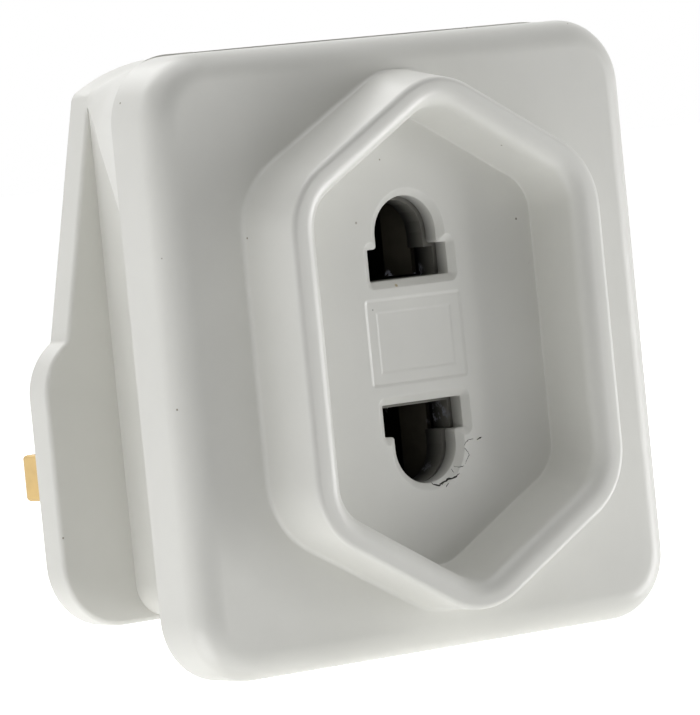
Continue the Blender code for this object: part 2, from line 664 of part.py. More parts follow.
def make_fuse_carrier(parts, guides, material):
    """The pull-out carrier: a flush plate with a cradle for the fuse and a notch to pry it out."""
    plate_front = CARRIER_FACE_Y - CARRIER_PLATE
    low = (-CARRIER_HALF_WIDTH, plate_front, SLOT_CENTRE_Z - CARRIER_HALF_HEIGHT)
    high = (CARRIER_HALF_WIDTH, CARRIER_FACE_Y, SLOT_CENTRE_Z + CARRIER_HALF_HEIGHT)
    carrier = block("fuse_carrier", low, high, parts)
    low = (-CRADLE_HALF_LENGTH, plate_front - CRADLE_DEPTH, SLOT_CENTRE_Z - CARRIER_HALF_HEIGHT)
    high = (CRADLE_HALF_LENGTH, plate_front + OVERLAP, SLOT_CENTRE_Z + CARRIER_HALF_HEIGHT)
    join(carrier, block("fuse_cradle", low, high, guides))
    centre = (FUSE_Y, SLOT_CENTRE_Z)
    trough = rod("fuse_trough", "X", centre, -CARRIER_HALF_WIDTH - OVERLAP, CARRIER_HALF_WIDTH + OVERLAP,
                 CAP_RADIUS + GAP, guides)
    cut(carrier, trough)
    low = (CARRIER_HALF_WIDTH - PRY_NOTCH, CARRIER_FACE_Y - PRY_NOTCH, SLOT_CENTRE_Z - PRY_NOTCH)
    high = (CARRIER_HALF_WIDTH + OVERLAP, OVERLAP, SLOT_CENTRE_Z + PRY_NOTCH)
    cut(carrier, block("pry_notch", low, high, guides))
    return finish(carrier, material)


def make_fuse(parts, guides, ceramic, metal):
    """The cartridge fuse: a ceramic tube with a metal cap on each end."""
    centre = (FUSE_Y, SLOT_CENTRE_Z)
    tube = rod("fuse_tube", "X", centre, -TUBE_HALF_LENGTH, TUBE_HALF_LENGTH, TUBE_RADIUS, parts)
    finish(tube, ceramic)
    for side, place in ((1, "live"), (-1, "load")):
        name = "fuse_cap_" + place
        start, end = sorted((side * CAP_START, side * CAP_END))
        cap = rod(name, "X", centre, start, end, CAP_RADIUS, parts)
        start, end = sorted((side * (CAP_START - OVERLAP), side * (TUBE_HALF_LENGTH + GAP / 2)))
        cut(cap, rod(name + "_mouth", "X", centre, start, end, CAP_INNER_RADIUS, guides))
        finish(cap, metal)


def make_clip(name, side, parts, guides):
    """A stamped clip round one fuse cap: a web with two arms."""
    start, end = sorted((side * CLIP_NEAR, side * CLIP_FAR))
    outside = CLIP_INSIDE + STRIP
    low = (start, STRIP_FRONT_Y, SLOT_CENTRE_Z - outside)
    high = (end, STRIP_FRONT_Y + STRIP, SLOT_CENTRE_Z + outside)
    clip = block(name, low, high, parts)
    for arm, (inner, outer) in enumerate(((CLIP_INSIDE, outside), (-outside, -CLIP_INSIDE))):
        low = (start, STRIP_FRONT_Y, SLOT_CENTRE_Z + inner)
        high = (end, CLIP_ARM_Y, SLOT_CENTRE_Z + outer)
        join(clip, block(name + "_arm_" + str(arm), low, high, guides))
    return clip


def add_strap(strip, name, low, high, guides):
    """Add one straight run to a stamped strip; low and high are X and Z values."""
    start = (low[0], STRIP_FRONT_Y, low[1])
    end = (high[0], STRIP_FRONT_Y + STRIP, high[1])
    join(strip, block(name, start, end, guides))


def make_live_clip(parts, guides, material):
    """The clip on the live side, with its strap down to the live pin."""
    clip = make_clip("fuse_clip_live", 1, parts, guides)
    far = PIN_HALF_SPACING + STRAP_HALF_WIDTH * 1.5
    near = PIN_HALF_SPACING - STRAP_HALF_WIDTH * 1.5
    low_z = SLOT_CENTRE_Z - STRAP_HALF_WIDTH
    high_z = low_z + 2 * STRAP_HALF_WIDTH
    add_strap(clip, "live_strap_across", (CLIP_FAR - STRIP, low_z), (far, high_z), guides)
    end_z = -STRAP_HALF_WIDTH * 1.5
    add_strap(clip, "live_strap_down", (near, end_z), (far, low_z + STRAP_HALF_WIDTH), guides)
    hole = rod("live_strap_hole", "Y", (PIN_HALF_SPACING, 0.0), STRIP_FRONT_Y - OVERLAP,
               STRIP_FRONT_Y + STRIP + OVERLAP, STUD_RADIUS + GAP / 2, guides, FINE_SIDES)
    cut(clip, hole)
    return finish(clip, material)


def cut_rivet_hole(item, name, side, guides):
    """Drill a strip or a contact's tail for its rivet."""
    centre = (0.0, SLOT_CENTRE_Z + side * RIVET_Z)
    hole = rod(name, "Y", centre, STRIP_FRONT_Y - OVERLAP, TAIL_FRONT_Y + STRIP + OVERLAP,
               RIVET_RADIUS + GAP / 2, guides, FINE_SIDES)
    cut(item, hole)


def make_load_clip(parts, guides, material):
    """The clip on the load side, with its strap up to the upper contact."""
    clip = make_clip("fuse_clip_load", -1, parts, guides)
    start = LOAD_STRAP_OUTER
    end = LOAD_STRAP_INNER
    low_z = SLOT_CENTRE_Z - STRAP_HALF_WIDTH
    near = SLOT_CENTRE_Z + TAIL_NEAR
    far = SLOT_CENTRE_Z + TAIL_FAR
    add_strap(clip, "load_strap_up", (start, low_z), (end, far), guides)
    add_strap(clip, "load_strap_across", (start, near), (TAIL_HALF_WIDTH, far), guides)
    cut_rivet_hole(clip, "load_strap_hole", 1, guides)
    return finish(clip, material)


def make_neutral_bar(parts, guides, material):
    """The strip from the lower contact to the neutral pin."""
    near = SLOT_CENTRE_Z - TAIL_NEAR
    far = SLOT_CENTRE_Z - TAIL_FAR
    outer = -PIN_HALF_SPACING - STRAP_HALF_WIDTH * 1.5
    inner = -PIN_HALF_SPACING + STRAP_HALF_WIDTH * 1.5
    high = (TAIL_HALF_WIDTH, STRIP_FRONT_Y + STRIP, near)
    bar = block("neutral_bar", (outer, STRIP_FRONT_Y, far), high, parts)
    add_strap(bar, "neutral_bar_up", (outer, far), (inner, STRAP_HALF_WIDTH * 1.5), guides)
    hole = rod("neutral_bar_pin_hole", "Y", (-PIN_HALF_SPACING, 0.0), STRIP_FRONT_Y - OVERLAP,
               STRIP_FRONT_Y + STRIP + OVERLAP, STUD_RADIUS + GAP / 2, guides, FINE_SIDES)
    cut(bar, hole)
    cut_rivet_hole(bar, "neutral_bar_hole", -1, guides)
    return finish(bar, material)


def leaf_outline(side):
    """A contact leaf seen from above: a straight grip with a flared mouth, in X and Y."""
    inner = [(LEAF_INSIDE, LEAF_BACK_Y), (LEAF_INSIDE, LEAF_BEND_Y), (LEAF_MOUTH, LEAF_FRONT_Y)]
    outer = [(x + STRIP, y) for x, y in reversed(inner)]
    return [(side * x, y) for x, y in inner + outer]


def make_contact(name, side, parts, guides, material):
    """A sprung contact: two leaves, the web that joins them and a tail folded over its strip."""
    web_low, web_high = sorted((side * LEAF_WEB, side * (LEAF_WEB + STRIP)))
    low = (-LEAF_INSIDE - STRIP, LEAF_BEND_Y, SLOT_CENTRE_Z + web_low)
    high = (LEAF_INSIDE + STRIP, TAIL_FRONT_Y + STRIP, SLOT_CENTRE_Z + web_high)
    contact = block(name, low, high, parts)
    leaf_low, leaf_high = sorted((side * LEAF_NEAR, side * (LEAF_WEB + STRIP / 2)))
    for hand in (-1, 1):
        shape = bmesh.new()
        ring = [shape.verts.new((x, y, SLOT_CENTRE_Z + leaf_low)) for x, y in leaf_outline(hand)]
        face = shape.faces.new(ring)
        grown = bmesh.ops.extrude_face_region(shape, geom=[face])
        moved = [item for item in grown["geom"] if isinstance(item, bmesh.types.BMVert)]
        bmesh.ops.translate(shape, verts=moved, vec=(0, 0, leaf_high - leaf_low))
        leaf_name = name + ("_leaf_left" if hand < 0 else "_leaf_right")
        join(contact, add_object(leaf_name, mesh_from(shape, leaf_name), guides))
    tail_low, tail_high = sorted((side * LEAF_WEB, side * TAIL_FAR))
    low = (-TAIL_HALF_WIDTH, TAIL_FRONT_Y, SLOT_CENTRE_Z + tail_low)
    high = (TAIL_HALF_WIDTH, TAIL_FRONT_Y + STRIP, SLOT_CENTRE_Z + tail_high)
    join(contact, block(name + "_tail", low, high, guides))
    cut_rivet_hole(contact, name + "_hole", side, guides)
    return finish(contact, material)


def make_rivet(name, side, parts, guides, material):
    """The rivet that joins a contact's tail to its strip."""
    centre = (0.0, SLOT_CENTRE_Z + side * RIVET_Z)
    seat = GAP / 2
    front = STRIP_FRONT_Y - seat
    back = TAIL_FRONT_Y + STRIP + seat
    rivet = rod(name, "Y", centre, front - RIVET_HEAD, back + RIVET_HEAD, RIVET_RADIUS, parts, FINE_SIDES)
    for place, start in (("_front_head", front - RIVET_HEAD), ("_back_head", back)):
        end = start + RIVET_HEAD
        head = rod(name + place, "Y", centre, start, end, RIVET_HEAD_RADIUS, guides, FINE_SIDES)
        join(rivet, head)
    return finish(rivet, material)


def make_contact_holder(parts, guides, material):
    """The dark moulding behind the floor: a slotted face and a pocket for each contact."""
    low = (-HOLDER_HALF_WIDTH, HOLDER_FRONT_Y, SLOT_CENTRE_Z - HOLDER_HALF_HEIGHT)
    high = (HOLDER_HALF_WIDTH, HOLDER_BACK_Y, SLOT_CENTRE_Z + HOLDER_HALF_HEIGHT)
    holder = block("contact_holder", low, high, parts)
    for side, place in ((1, "upper"), (-1, "lower")):
        near, far = sorted((side * POCKET_NEAR, side * POCKET_FAR))
        low = (-POCKET_HALF_WIDTH, HOLDER_FRONT_Y + HOLDER_FACE, SLOT_CENTRE_Z + near)
        high = (POCKET_HALF_WIDTH, HOLDER_BACK_Y + OVERLAP, SLOT_CENTRE_Z + far)
        cut(holder, block(place + "_pocket", low, high, guides))
        outline = keyhole(side, HOLDER_SLOT_SHRINK)
        start = HOLDER_FRONT_Y - OVERLAP
        end = HOLDER_FRONT_Y + HOLDER_FACE + OVERLAP
        cut(holder, plate(place + "_holder_slot", outline, start, end, guides))
    return finish(holder, material)


def make_screw(name, side, parts, guides, material):
    """A case screw with a cross recess."""
    centre = (side * SCREW_X, SLOT_CENTRE_Z + SCREW_Z)
    screw = rod(name, "Y", centre, SCREW_HEAD_FRONT_Y, SCREW_HEAD_BACK_Y, SCREW_HEAD_RADIUS, parts)
    shank_end = SCREW_HEAD_FRONT_Y + OVERLAP / 4
    shank = rod(name + "_shank", "Y", centre, SCREW_TIP_Y, shank_end, SCREW_RADIUS, guides)
    join(screw, shank)
    x, z = centre
    for place, (wide, high_reach) in (("_wide", (DRIVE_REACH, DRIVE_HALF_WIDTH)),
                                      ("_tall", (DRIVE_HALF_WIDTH, DRIVE_REACH))):
        low = (x - wide, SCREW_HEAD_BACK_Y - DRIVE_DEPTH, z - high_reach)
        high = (x + wide, OVERLAP, z + high_reach)
        cut(screw, block(name + place, low, high, guides))
    return finish(screw, material)


def main():
    """Build every piece of the adaptor."""
    clear_scene()
    parts = new_collection("shaver_adaptor")
    guides = new_collection("guides")
    plastic = new_material("white_plastic", PLASTIC, 0.35, 0.0)
    base_plastic = new_material("white_base_plastic", PLASTIC, 0.4, 0.0)
    dark = new_material("black_plastic", DARK, 0.55, 0.0)
    brass = new_material("brass", BRASS, 0.3, 1.0)
    steel = new_material("plated_steel", STEEL, 0.3, 1.0)
    ceramic = new_material("ceramic", CERAMIC, 0.45, 0.0)
    sleeve = new_material("sleeve_plastic", SLEEVE, 0.45, 0.0)
    make_front_cover(parts, guides, plastic)
    make_rear_shell(parts, guides, base_plastic)
    for side, place in ((1, "live"), (-1, "neutral")):
        make_pin(place + "_pin", side, parts, guides, brass)
        make_sleeve(place + "_pin_sleeve", side, parts, guides, sleeve)
    make_fuse_carrier(parts, guides, base_plastic)
    make_fuse(parts, guides, ceramic, steel)
    make_live_clip(parts, guides, brass)
    make_load_clip(parts, guides, brass)
    make_neutral_bar(parts, guides, brass)
    for side, place in ((1, "upper"), (-1, "lower")):
        make_contact(place + "_contact", side, parts, guides, brass)
        make_rivet(place + "_rivet", side, parts, guides, brass)
    make_contact_holder(parts, guides, dark)
    for side, place in ((-1, "left"), (1, "right")):
        make_screw("case_screw_" + place, side, parts, guides, steel)


main()
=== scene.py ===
"""Shaver plug adapter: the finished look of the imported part, laid out as an add-on.

Everything is in metres in the part's own frame: X to the right seen from the shaver side, Y into the
wall and Z up. The origin is on the face that meets the wall, midway between the live and neutral pins.
"""

import math

import bmesh
import bpy
import numpy as np
from bpy.props import FloatProperty, FloatVectorProperty, PointerProperty
from mathutils import Matrix, Vector


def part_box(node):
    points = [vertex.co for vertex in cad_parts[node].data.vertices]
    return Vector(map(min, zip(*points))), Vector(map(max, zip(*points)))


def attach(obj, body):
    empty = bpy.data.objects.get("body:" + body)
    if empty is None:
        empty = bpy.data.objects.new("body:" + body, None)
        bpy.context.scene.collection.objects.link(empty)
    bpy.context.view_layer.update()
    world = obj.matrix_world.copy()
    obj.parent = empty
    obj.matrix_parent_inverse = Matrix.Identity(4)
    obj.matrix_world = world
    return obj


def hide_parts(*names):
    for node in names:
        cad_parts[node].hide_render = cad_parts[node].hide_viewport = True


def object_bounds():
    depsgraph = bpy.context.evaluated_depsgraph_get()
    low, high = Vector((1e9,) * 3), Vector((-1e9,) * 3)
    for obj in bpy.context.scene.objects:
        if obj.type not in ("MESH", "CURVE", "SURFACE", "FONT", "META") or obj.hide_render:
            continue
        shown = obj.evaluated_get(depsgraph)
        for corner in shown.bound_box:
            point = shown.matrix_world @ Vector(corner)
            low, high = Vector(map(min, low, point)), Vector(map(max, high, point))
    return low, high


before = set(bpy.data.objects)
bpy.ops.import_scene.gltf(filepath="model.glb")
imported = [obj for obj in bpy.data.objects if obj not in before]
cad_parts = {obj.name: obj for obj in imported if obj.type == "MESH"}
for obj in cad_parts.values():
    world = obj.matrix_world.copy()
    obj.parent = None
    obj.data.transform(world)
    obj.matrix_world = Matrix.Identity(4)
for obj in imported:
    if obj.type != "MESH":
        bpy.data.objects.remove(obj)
CAD_BOX = [list(corner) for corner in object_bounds()]

bl_info = {
    "name": "Shaver plug adapter",
    "version": (1, 0, 0),
    "blender": (4, 5, 0),
    "location": "3D View > Sidebar > Adapter",
    "description": "Dresses the packed shaver plug adapter in finely moulded pieces and their finishes",
    "category": "Object",
}

MM = 0.001
SLOT_CENTRE_Z = 9.4 * MM
COVER_LOW, COVER_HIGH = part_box("front_cover")
SHELL_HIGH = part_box("rear_shell")[1]
SHELL_TOP = SHELL_HIGH.z - SLOT_CENTRE_Z
RING_POINTS = 480
RING_ANGLES = np.linspace(-math.pi, math.pi, RING_POINTS, endpoint=False) + math.pi / RING_POINTS

# The shaver side, as depths from the wall.
FACE_Y = -22.0 * MM
COVER_BACK_Y = -16.0 * MM
FLOOR_Y = -21.67 * MM
FLOOR_BACK_Y = -19.9 * MM
RIM_Y = -27.5 * MM

# The cover's tray: its wall, the round where wall and floor meet behind, the soft edge at its back and
# how far inside the wall its skin starts.
COVER_WALL = 2.0 * MM
TRAY_ROUND = 0.5 * MM
TRAY_EDGE = 0.06 * MM
TRAY_START = 16.0 * MM

# Collar and recess: half width, shoulder and tip of the long hexagon, its corners, how far the foot sits
# above the slots' centre and the two rims below it, and the round at the recess's foot.
COLLAR_FOOT = np.array((16.55, 13.56, 22.96)) * MM
COLLAR_RIM = np.array((15.6, 13.43, 22.55)) * MM
RECESS_RIM = np.array((13.0, 12.24, 19.94)) * MM
RECESS_FLOOR = np.array((12.65, 11.5, 18.9)) * MM
COLLAR_CORNER = 6.5 * MM
RECESS_CORNER = 3.6 * MM
FOOT_LIFT = 0.14 * MM
RIM_DROP = 0.33 * MM
RECESS_DROP = 0.29 * MM
RECESS_FOOT_ROUND = 0.12 * MM
ROUND_STEPS = 9
WALL_STEPS = 4

# Keyhole slots about the slots' centre: half width, near edge, step, arch radius, far end, how much
# higher than the centre the pair sits, and the small radii of corners and bevel.
SLOT_HALF_WIDTH = 3.99 * MM
SLOT_NEAR = 5.02 * MM
SLOT_STEP = 7.64 * MM
SLOT_ARCH = 3.08 * MM
SLOT_FAR = 11.75 * MM
SLOT_RISE = 0.16 * MM
SLOT_CRISP = 0.12 * MM
SLOT_INNER = 0.28 * MM
BEVEL_LIP = 0.07 * MM
BEVEL_EDGE = 0.05 * MM

# The stepped panel between the slots: its edges, corner, shift to the left, the outer step's width, and
# the inner step's start, width, depth and end.
PANEL_HALF_WIDTH = 4.97 * MM
PANEL_LOW = -3.44 * MM
PANEL_HIGH = 3.88 * MM
PANEL_CORNER = 0.42 * MM
PANEL_SHIFT = 0.16 * MM
PANEL_STEP = 0.38 * MM
PANEL_INNER = 1.1 * MM
PANEL_INNER_STEP = 0.26 * MM
PANEL_INNER_DEPTH = 0.03 * MM
PANEL_END = 1.45 * MM

# The base flange: its front, the shell's inner floor, the corners of its outline up the right side (foot,
# ear, taper, shoulder and arch) with their radii, and the round of its back edge.
FLANGE_FRONT_Y = -2.6 * MM
SHELL_FLOOR_Y = -2.0 * MM
SHELL_BOTTOM = -21.1 * MM
EAR_TOP = 0.93 * MM
TAPER_FOOT = (21.43 * MM, 2.6 * MM)
SHOULDER = (16.92 * MM, 22.6 * MM)
ARCH_HALF_WIDTH = 12.05 * MM
FOOT_RADIUS, EAR_RADIUS, TAPER_RADIUS, SHOULDER_RADIUS, ARCH_RADIUS = (
    radius * MM for radius in (5.5, 5.2, 0.5, 1.3, 18.0))
FLANGE_BACK_ROUND = 0.12 * MM

# The top block, from the cover's outline to the base's, with the finger grip's slope cut along it.
SHELL_FRONT_Y = -15.99 * MM
BLOCK_LOW = -4.0 * MM
BLOCK_MIDDLE = 12.0 * MM
BLOCK_FRONT_HALF_WIDTH = 24.05 * MM
BLOCK_FRONT_RADIUS = 5.9 * MM
BLOCK_BACK_HALF_WIDTH = 17.2 * MM
BLOCK_BACK_TOP = 21.36 * MM
BLOCK_SINK = 1.2 * MM
GRIP_FRONT_Y = -15.7 * MM
GRIP_TOP_FRONT = 13.0 * MM
GRIP_TOP_BACK = 21.5 * MM
SEAM_LOW, SEAM_HIGH = (-15.5 * MM, -17.0 * MM, 23.4 * MM), (12.5 * MM, -15.72 * MM, 26.0 * MM)

# Waist, hollow and closing plate.
WAIST_HALF_WIDTH = 17.1 * MM
WAIST_BOTTOM = -20.85 * MM
WAIST_TOP = 21.4 * MM
WAIST_CORNER = 3.0 * MM
WAIST_FRONT_Y, WAIST_BACK_Y = -17.8 * MM, -1.6 * MM
SHELL_WALL = 1.8 * MM
HOLLOW_HALF_WIDTH = 15.3 * MM
HOLLOW_FRONT_Y = -18.8 * MM
CLOSER_HALF_WIDTH = 21.8 * MM
CLOSER_LOW, CLOSER_HIGH = -23.0 * MM, 22.65 * MM
CLOSER_CORNER = 3.2 * MM
CLOSER_FRONT_Y, CLOSER_BACK_Y = -17.8 * MM, -15.5 * MM

# Wall pins and their sleeves. A pin's shoulder is a plate, and its riveted stud has a domed head, given as
# pairs of depth and radius.
PIN_X = 11.115 * MM
PIN_HALF = (3.175 * MM, 2.0 * MM)
PIN_CORE = (2.375 * MM, 1.2 * MM)
PIN_ROOT_Y = -7.7 * MM
PIN_LENGTH = 17.7 * MM
PIN_TIP = 1.1 * MM
PIN_CORNER = 0.3 * MM
CORE_CORNER = 0.25 * MM
SLEEVE_LENGTH = 9.5 * MM
SLEEVE_ROUND = 0.15 * MM
PLAY = 0.1 * MM
PIN_PLATE_HALF = (3.8 * MM, 3.3 * MM)
PIN_PLATE_FRONT_Y, PIN_PLATE_BACK_Y = -3.5 * MM, -2.3 * MM
STUD_RADIUS = 1.05 * MM
STUD_FRONT_Y, STUD_BACK_Y = -8.9 * MM, -6.7 * MM
STUD_HEAD = np.array(((-9.05, 1.5), (-8.95, 1.8), (-8.8, 1.9), (-8.7, 1.9))) * MM
PIN_HOLE_HALF = (3.475 * MM, 2.3 * MM)
PIN_HOLE_FLARE = 0.15 * MM
EARTH_Z = 22.23 * MM
EARTH_HALF = (2.0 * MM, 3.95 * MM)
EARTH_LENGTH = 22.7 * MM
EARTH_TIP = 1.4 * MM
EARTH_TIP_ROUND = 0.35 * MM
EARTH_CORNER = 0.45 * MM

# Fuse, its carrier and the well that holds them.
FUSE_Y = -5.2 * MM
FUSE_WELL_HALF = (11.7 * MM, 4.6 * MM)
FUSE_WELL_FRONT_Y = -7.7 * MM
FUSE_OPENING_HALF = (10.7 * MM, 3.6 * MM)
FUSE_OPENING_FRONT_Y = -8.7 * MM
FUSE_OPENING_FLARE = 0.2 * MM
CARRIER_HALF = (10.4 * MM, 3.3 * MM)
CARRIER_FRONT_Y, CARRIER_BACK_Y = -2.15 * MM, -0.25 * MM
CRADLE_HALF_WIDTH = 4.5 * MM
CRADLE_FRONT_Y, CRADLE_BACK_Y = -4.75 * MM, -1.15 * MM
TROUGH_RADIUS = 2.9 * MM
NOTCH_X, NOTCH_HALF_HEIGHT = 9.1 * MM, 1.3 * MM

# Case screws and their posts.
SCREW_X = 12.3 * MM
SCREW_Z = 15.2 * MM
SCREW_PLACES = tuple((side * SCREW_X, SLOT_CENTRE_Z + SCREW_Z) for side in (-1, 1))
SCREW_BORE = 1.3 * MM
SCREW_HEAD_HOLE = 2.4 * MM
SCREW_HEAD_FLARE = 0.2 * MM
SCREW_SEAT_Y = -1.4 * MM
POST_RADIUS = 2.5 * MM
BOSS_RADIUS = 2.9 * MM
PITCH = 0.9 * MM
THREAD_ROOT = 0.84 * MM
THREAD_HEIGHT = 0.26 * MM


# Shapes: outlines in X and Z, rings in space and the skins through them.


def offset_corners(corners, grow):
    """Corners moved outwards: by grow times the sum of the two sides' outward unit normals, divided by
    one plus the normals' dot product."""
    along = np.roll(corners, -1, axis=0) - corners
    along = along / np.linalg.norm(along, axis=1)[:, None]
    after = np.stack([along[:, 1], -along[:, 0]], axis=1)
    before = np.roll(after, 1, axis=0)
    share = grow / (1 + np.sum(before * after, axis=1))
    return corners + (before + after) * share[:, None]


def rounded_outline(corners, radii, grow=0.0, steps=10):
    """Closed outline of an anticlockwise polygon, grown outwards, with an arc at every corner: the centre
    plus the radius times (cos t, sin t), with t running evenly between the two tangent points."""
    corners = np.asarray(corners, float)
    moved = offset_corners(corners, grow)
    back = np.roll(corners, 1, axis=0) - corners
    ahead = np.roll(corners, -1, axis=0) - corners
    back = back / np.linalg.norm(back, axis=1)[:, None]
    ahead = ahead / np.linalg.norm(ahead, axis=1)[:, None]
    bulge = np.sign(back[:, 1] * ahead[:, 0] - back[:, 0] * ahead[:, 1])
    radius = np.maximum(np.asarray(radii, float) + bulge * grow, 0.005 * MM)
    half = np.arccos(np.clip(np.sum(back * ahead, axis=1), -1, 1)) / 2
    middle = back + ahead
    middle = middle / np.linalg.norm(middle, axis=1)[:, None]
    centre = moved + middle * (radius / np.sin(half))[:, None]
    reach = (radius / np.tan(half))[:, None]
    start = moved + back * reach - centre
    end = moved + ahead * reach - centre
    first = np.arctan2(start[:, 1], start[:, 0])
    turn = np.arctan2(end[:, 1], end[:, 0]) - first
    turn = (turn + math.pi) % (2 * math.pi) - math.pi
    angle = first[:, None] + turn[:, None] * np.linspace(0, 1, steps)
    arc = np.stack([np.cos(angle), np.sin(angle)], axis=2) * radius[:, None, None]
    return (centre[:, None, :] + arc).reshape(-1, 2)


def sampled(outline, angles=RING_ANGLES):
    """Where rays from the middle cross a closed outline: along the unit ray d, the side from p to q is met
    at (p x q) / (d x (q - p))."""
    turn = np.arctan2(outline[:, 1], outline[:, 0])
    order = np.argsort(turn)
    points = outline[order]
    turn = turn[order]
    points = np.concatenate([points[-1:], points, points[:1]])
    turn = np.concatenate([turn[-1:] - 2 * math.pi, turn, turn[:1] + 2 * math.pi])
    index = np.clip(np.searchsorted(turn, angles, side="right") - 1, 0, len(points) - 2)
    p, q = points[index], points[index + 1]
    d = np.stack([np.cos(angles), np.sin(angles)], axis=1)
    side = q - p
    reach = (p[:, 0] * q[:, 1] - p[:, 1] * q[:, 0]) / (d[:, 0] * side[:, 1] - d[:, 1] * side[:, 0])
    return d * reach[:, None]


def rectangle(half_width, low, high):
    """Corners of an upright rectangle, anticlockwise."""
    return np.array([(-half_width, low), (half_width, low), (half_width, high), (-half_width, high)])


def hexagon(size):
    """Corners of the long hexagon from its half width, shoulder and tip, anticlockwise."""
    width, shoulder, tip = size
    return np.array([(0, -tip), (width, -shoulder), (width, shoulder),
                     (0, tip), (-width, shoulder), (-width, -shoulder)])


def keyhole(side, grow):
    """One slot's outline about the slots' centre, grown outwards: a wide mouth, a step each side and a
    half round arch. side is 1 for the upper slot and -1 for the lower one."""
    w, n, s, r, f = SLOT_HALF_WIDTH, SLOT_NEAR, SLOT_STEP, SLOT_ARCH, SLOT_FAR
    corners = [(-w, n), (w, n), (w, s), (r, s), (r, f), (-r, f), (-r, s), (-w, s)]
    arch = r * 0.999
    radii = [SLOT_CRISP] * 3 + [SLOT_INNER, arch, arch, SLOT_INNER, SLOT_CRISP]
    outline = rounded_outline(corners, radii, grow, 14)
    outline[:, 1] = outline[:, 1] * side + SLOT_RISE
    return outline


def rings(outlines, depths, centre=(0.0, SLOT_CENTRE_Z)):
    """A grid of points: each outline's X and Z about a centre, at its depth Y."""
    flat = np.asarray(outlines, float)
    grid = np.empty(flat.shape[:2] + (3,))
    grid[..., 0] = flat[..., 0] + centre[0]
    grid[..., 1] = np.asarray(depths, float)[:, None]
    grid[..., 2] = flat[..., 1] + centre[1]
    return grid


def skin(name, grid, loop=False):
    """Mesh object through a grid of rings. Neighbours are joined round each ring and from ring to ring; the
    ends are closed by flat faces, or joined to each other where loop is true."""
    count, size = grid.shape[:2]
    index = np.arange(count * size).reshape(count, size)
    first, second = (index, np.roll(index, -1, axis=0)) if loop else (index[:-1], index[1:])
    quads = np.stack([first, np.roll(first, -1, axis=1), np.roll(second, -1, axis=1), second], axis=-1)
    faces = quads.reshape(-1, 4).tolist()
    if not loop:
        faces += [index[0].tolist(), index[-1].tolist()]
    mesh = bpy.data.meshes.new(name)
    mesh.from_pydata(grid.reshape(-1, 3), [], faces)
    shape = bmesh.new()
    shape.from_mesh(mesh)
    bmesh.ops.remove_doubles(shape, verts=shape.verts, dist=0.0005 * MM)
    bmesh.ops.recalc_face_normals(shape, faces=shape.faces)
    shape.to_mesh(mesh)
    shape.free()
    item = bpy.data.objects.new(name, mesh)
    bpy.context.scene.collection.objects.link(item)
    return item


def box_piece(name, low, high, corner=0.0, edge=0.0):
    """Block between two corners with rounded uprights along Y and softened ends: the outline shrinks by
    edge (1 - sin t) while its depth moves by edge (1 - cos t)."""
    half = ((high[0] - low[0]) / 2, (high[2] - low[2]) / 2)
    centre = ((high[0] + low[0]) / 2, (high[2] + low[2]) / 2)
    corners = rectangle(half[0], -half[1], half[1])
    grow, depth = softened_ends(low[1], high[1], edge)
    outlines = [rounded_outline(corners, max(corner, 0.02 * MM), g, 6) for g in grow]
    return skin(name, rings(outlines, depth, centre))


def softened_ends(start, end, edge, steps=5, far_edge=None):
    """Grow and depth of the sections of a plate whose near end is rounded by edge, and its far end by edge
    too or by far_edge."""
    if edge <= 0:
        return np.zeros(2), np.array([start, end])
    far = edge if far_edge is None else far_edge
    t = np.linspace(0, math.pi / 2, steps)
    grow = np.concatenate([-edge * (1 - np.sin(t)), -far * (1 - np.cos(t))])
    depth = np.concatenate([start + edge * (1 - np.cos(t)), end - far * (1 - np.sin(t))])
    return grow, depth


def turned(name, profile, axis, centre, sides=48):
    """Surface of revolution: the profile's radius turned round an axis along X or Y through a centre.
    profile holds pairs of distance along the axis and radius."""
    profile = np.asarray(profile, float)
    angle = np.linspace(0, 2 * math.pi, sides, endpoint=False)
    along = np.repeat(profile[:, :1], sides, axis=1)
    grid = np.empty((len(profile), sides, 3))
    across = profile[:, 1:] * np.cos(angle)
    up = profile[:, 1:] * np.sin(angle)
    if axis == "X":
        grid[..., 0], grid[..., 1], grid[..., 2] = along, across + centre[0], up + centre[1]
    else:
        grid[..., 0], grid[..., 1], grid[..., 2] = across + centre[0], along, up + centre[1]
    return skin(name, grid)


def carve(piece, others, operation="DIFFERENCE"):
    """Cut other objects out of a piece, or fuse them with it, and remove them."""
    for other in others:
        modifier = piece.modifiers.new(other.name, "BOOLEAN")
        modifier.operation = operation
        modifier.solver = "EXACT"
        modifier.object = other
    bpy.context.view_layer.update()
    graph = bpy.context.evaluated_depsgraph_get()
    mesh = bpy.data.meshes.new_from_object(piece.evaluated_get(graph))
    piece.modifiers.clear()
    piece.data = mesh
    mesh.name = piece.name
    for other in others:
        bpy.data.objects.remove(other, do_unlink=True)
    if not mesh.polygons:
        raise RuntimeError(piece.name + " is empty after " + operation)
    return piece


def paint_all(piece, materials):
    """Give a piece its materials, in slot order."""
    piece.data.materials.clear()
    for material in materials:
        piece.data.materials.append(material)


def finish_piece(piece, node):
    """Smooth shading with crisp edges kept, and the piece's place in the frame."""
    piece.data.shade_smooth()
    piece.data.set_sharp_from_angle(angle=math.radians(32.0))
    weighted = piece.modifiers.new("even_normals", "WEIGHTED_NORMAL")
    weighted.keep_sharp = True
    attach(piece, "root")
    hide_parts(node)


# Finishes: each is a small tree of procedural nodes on Object coordinates.

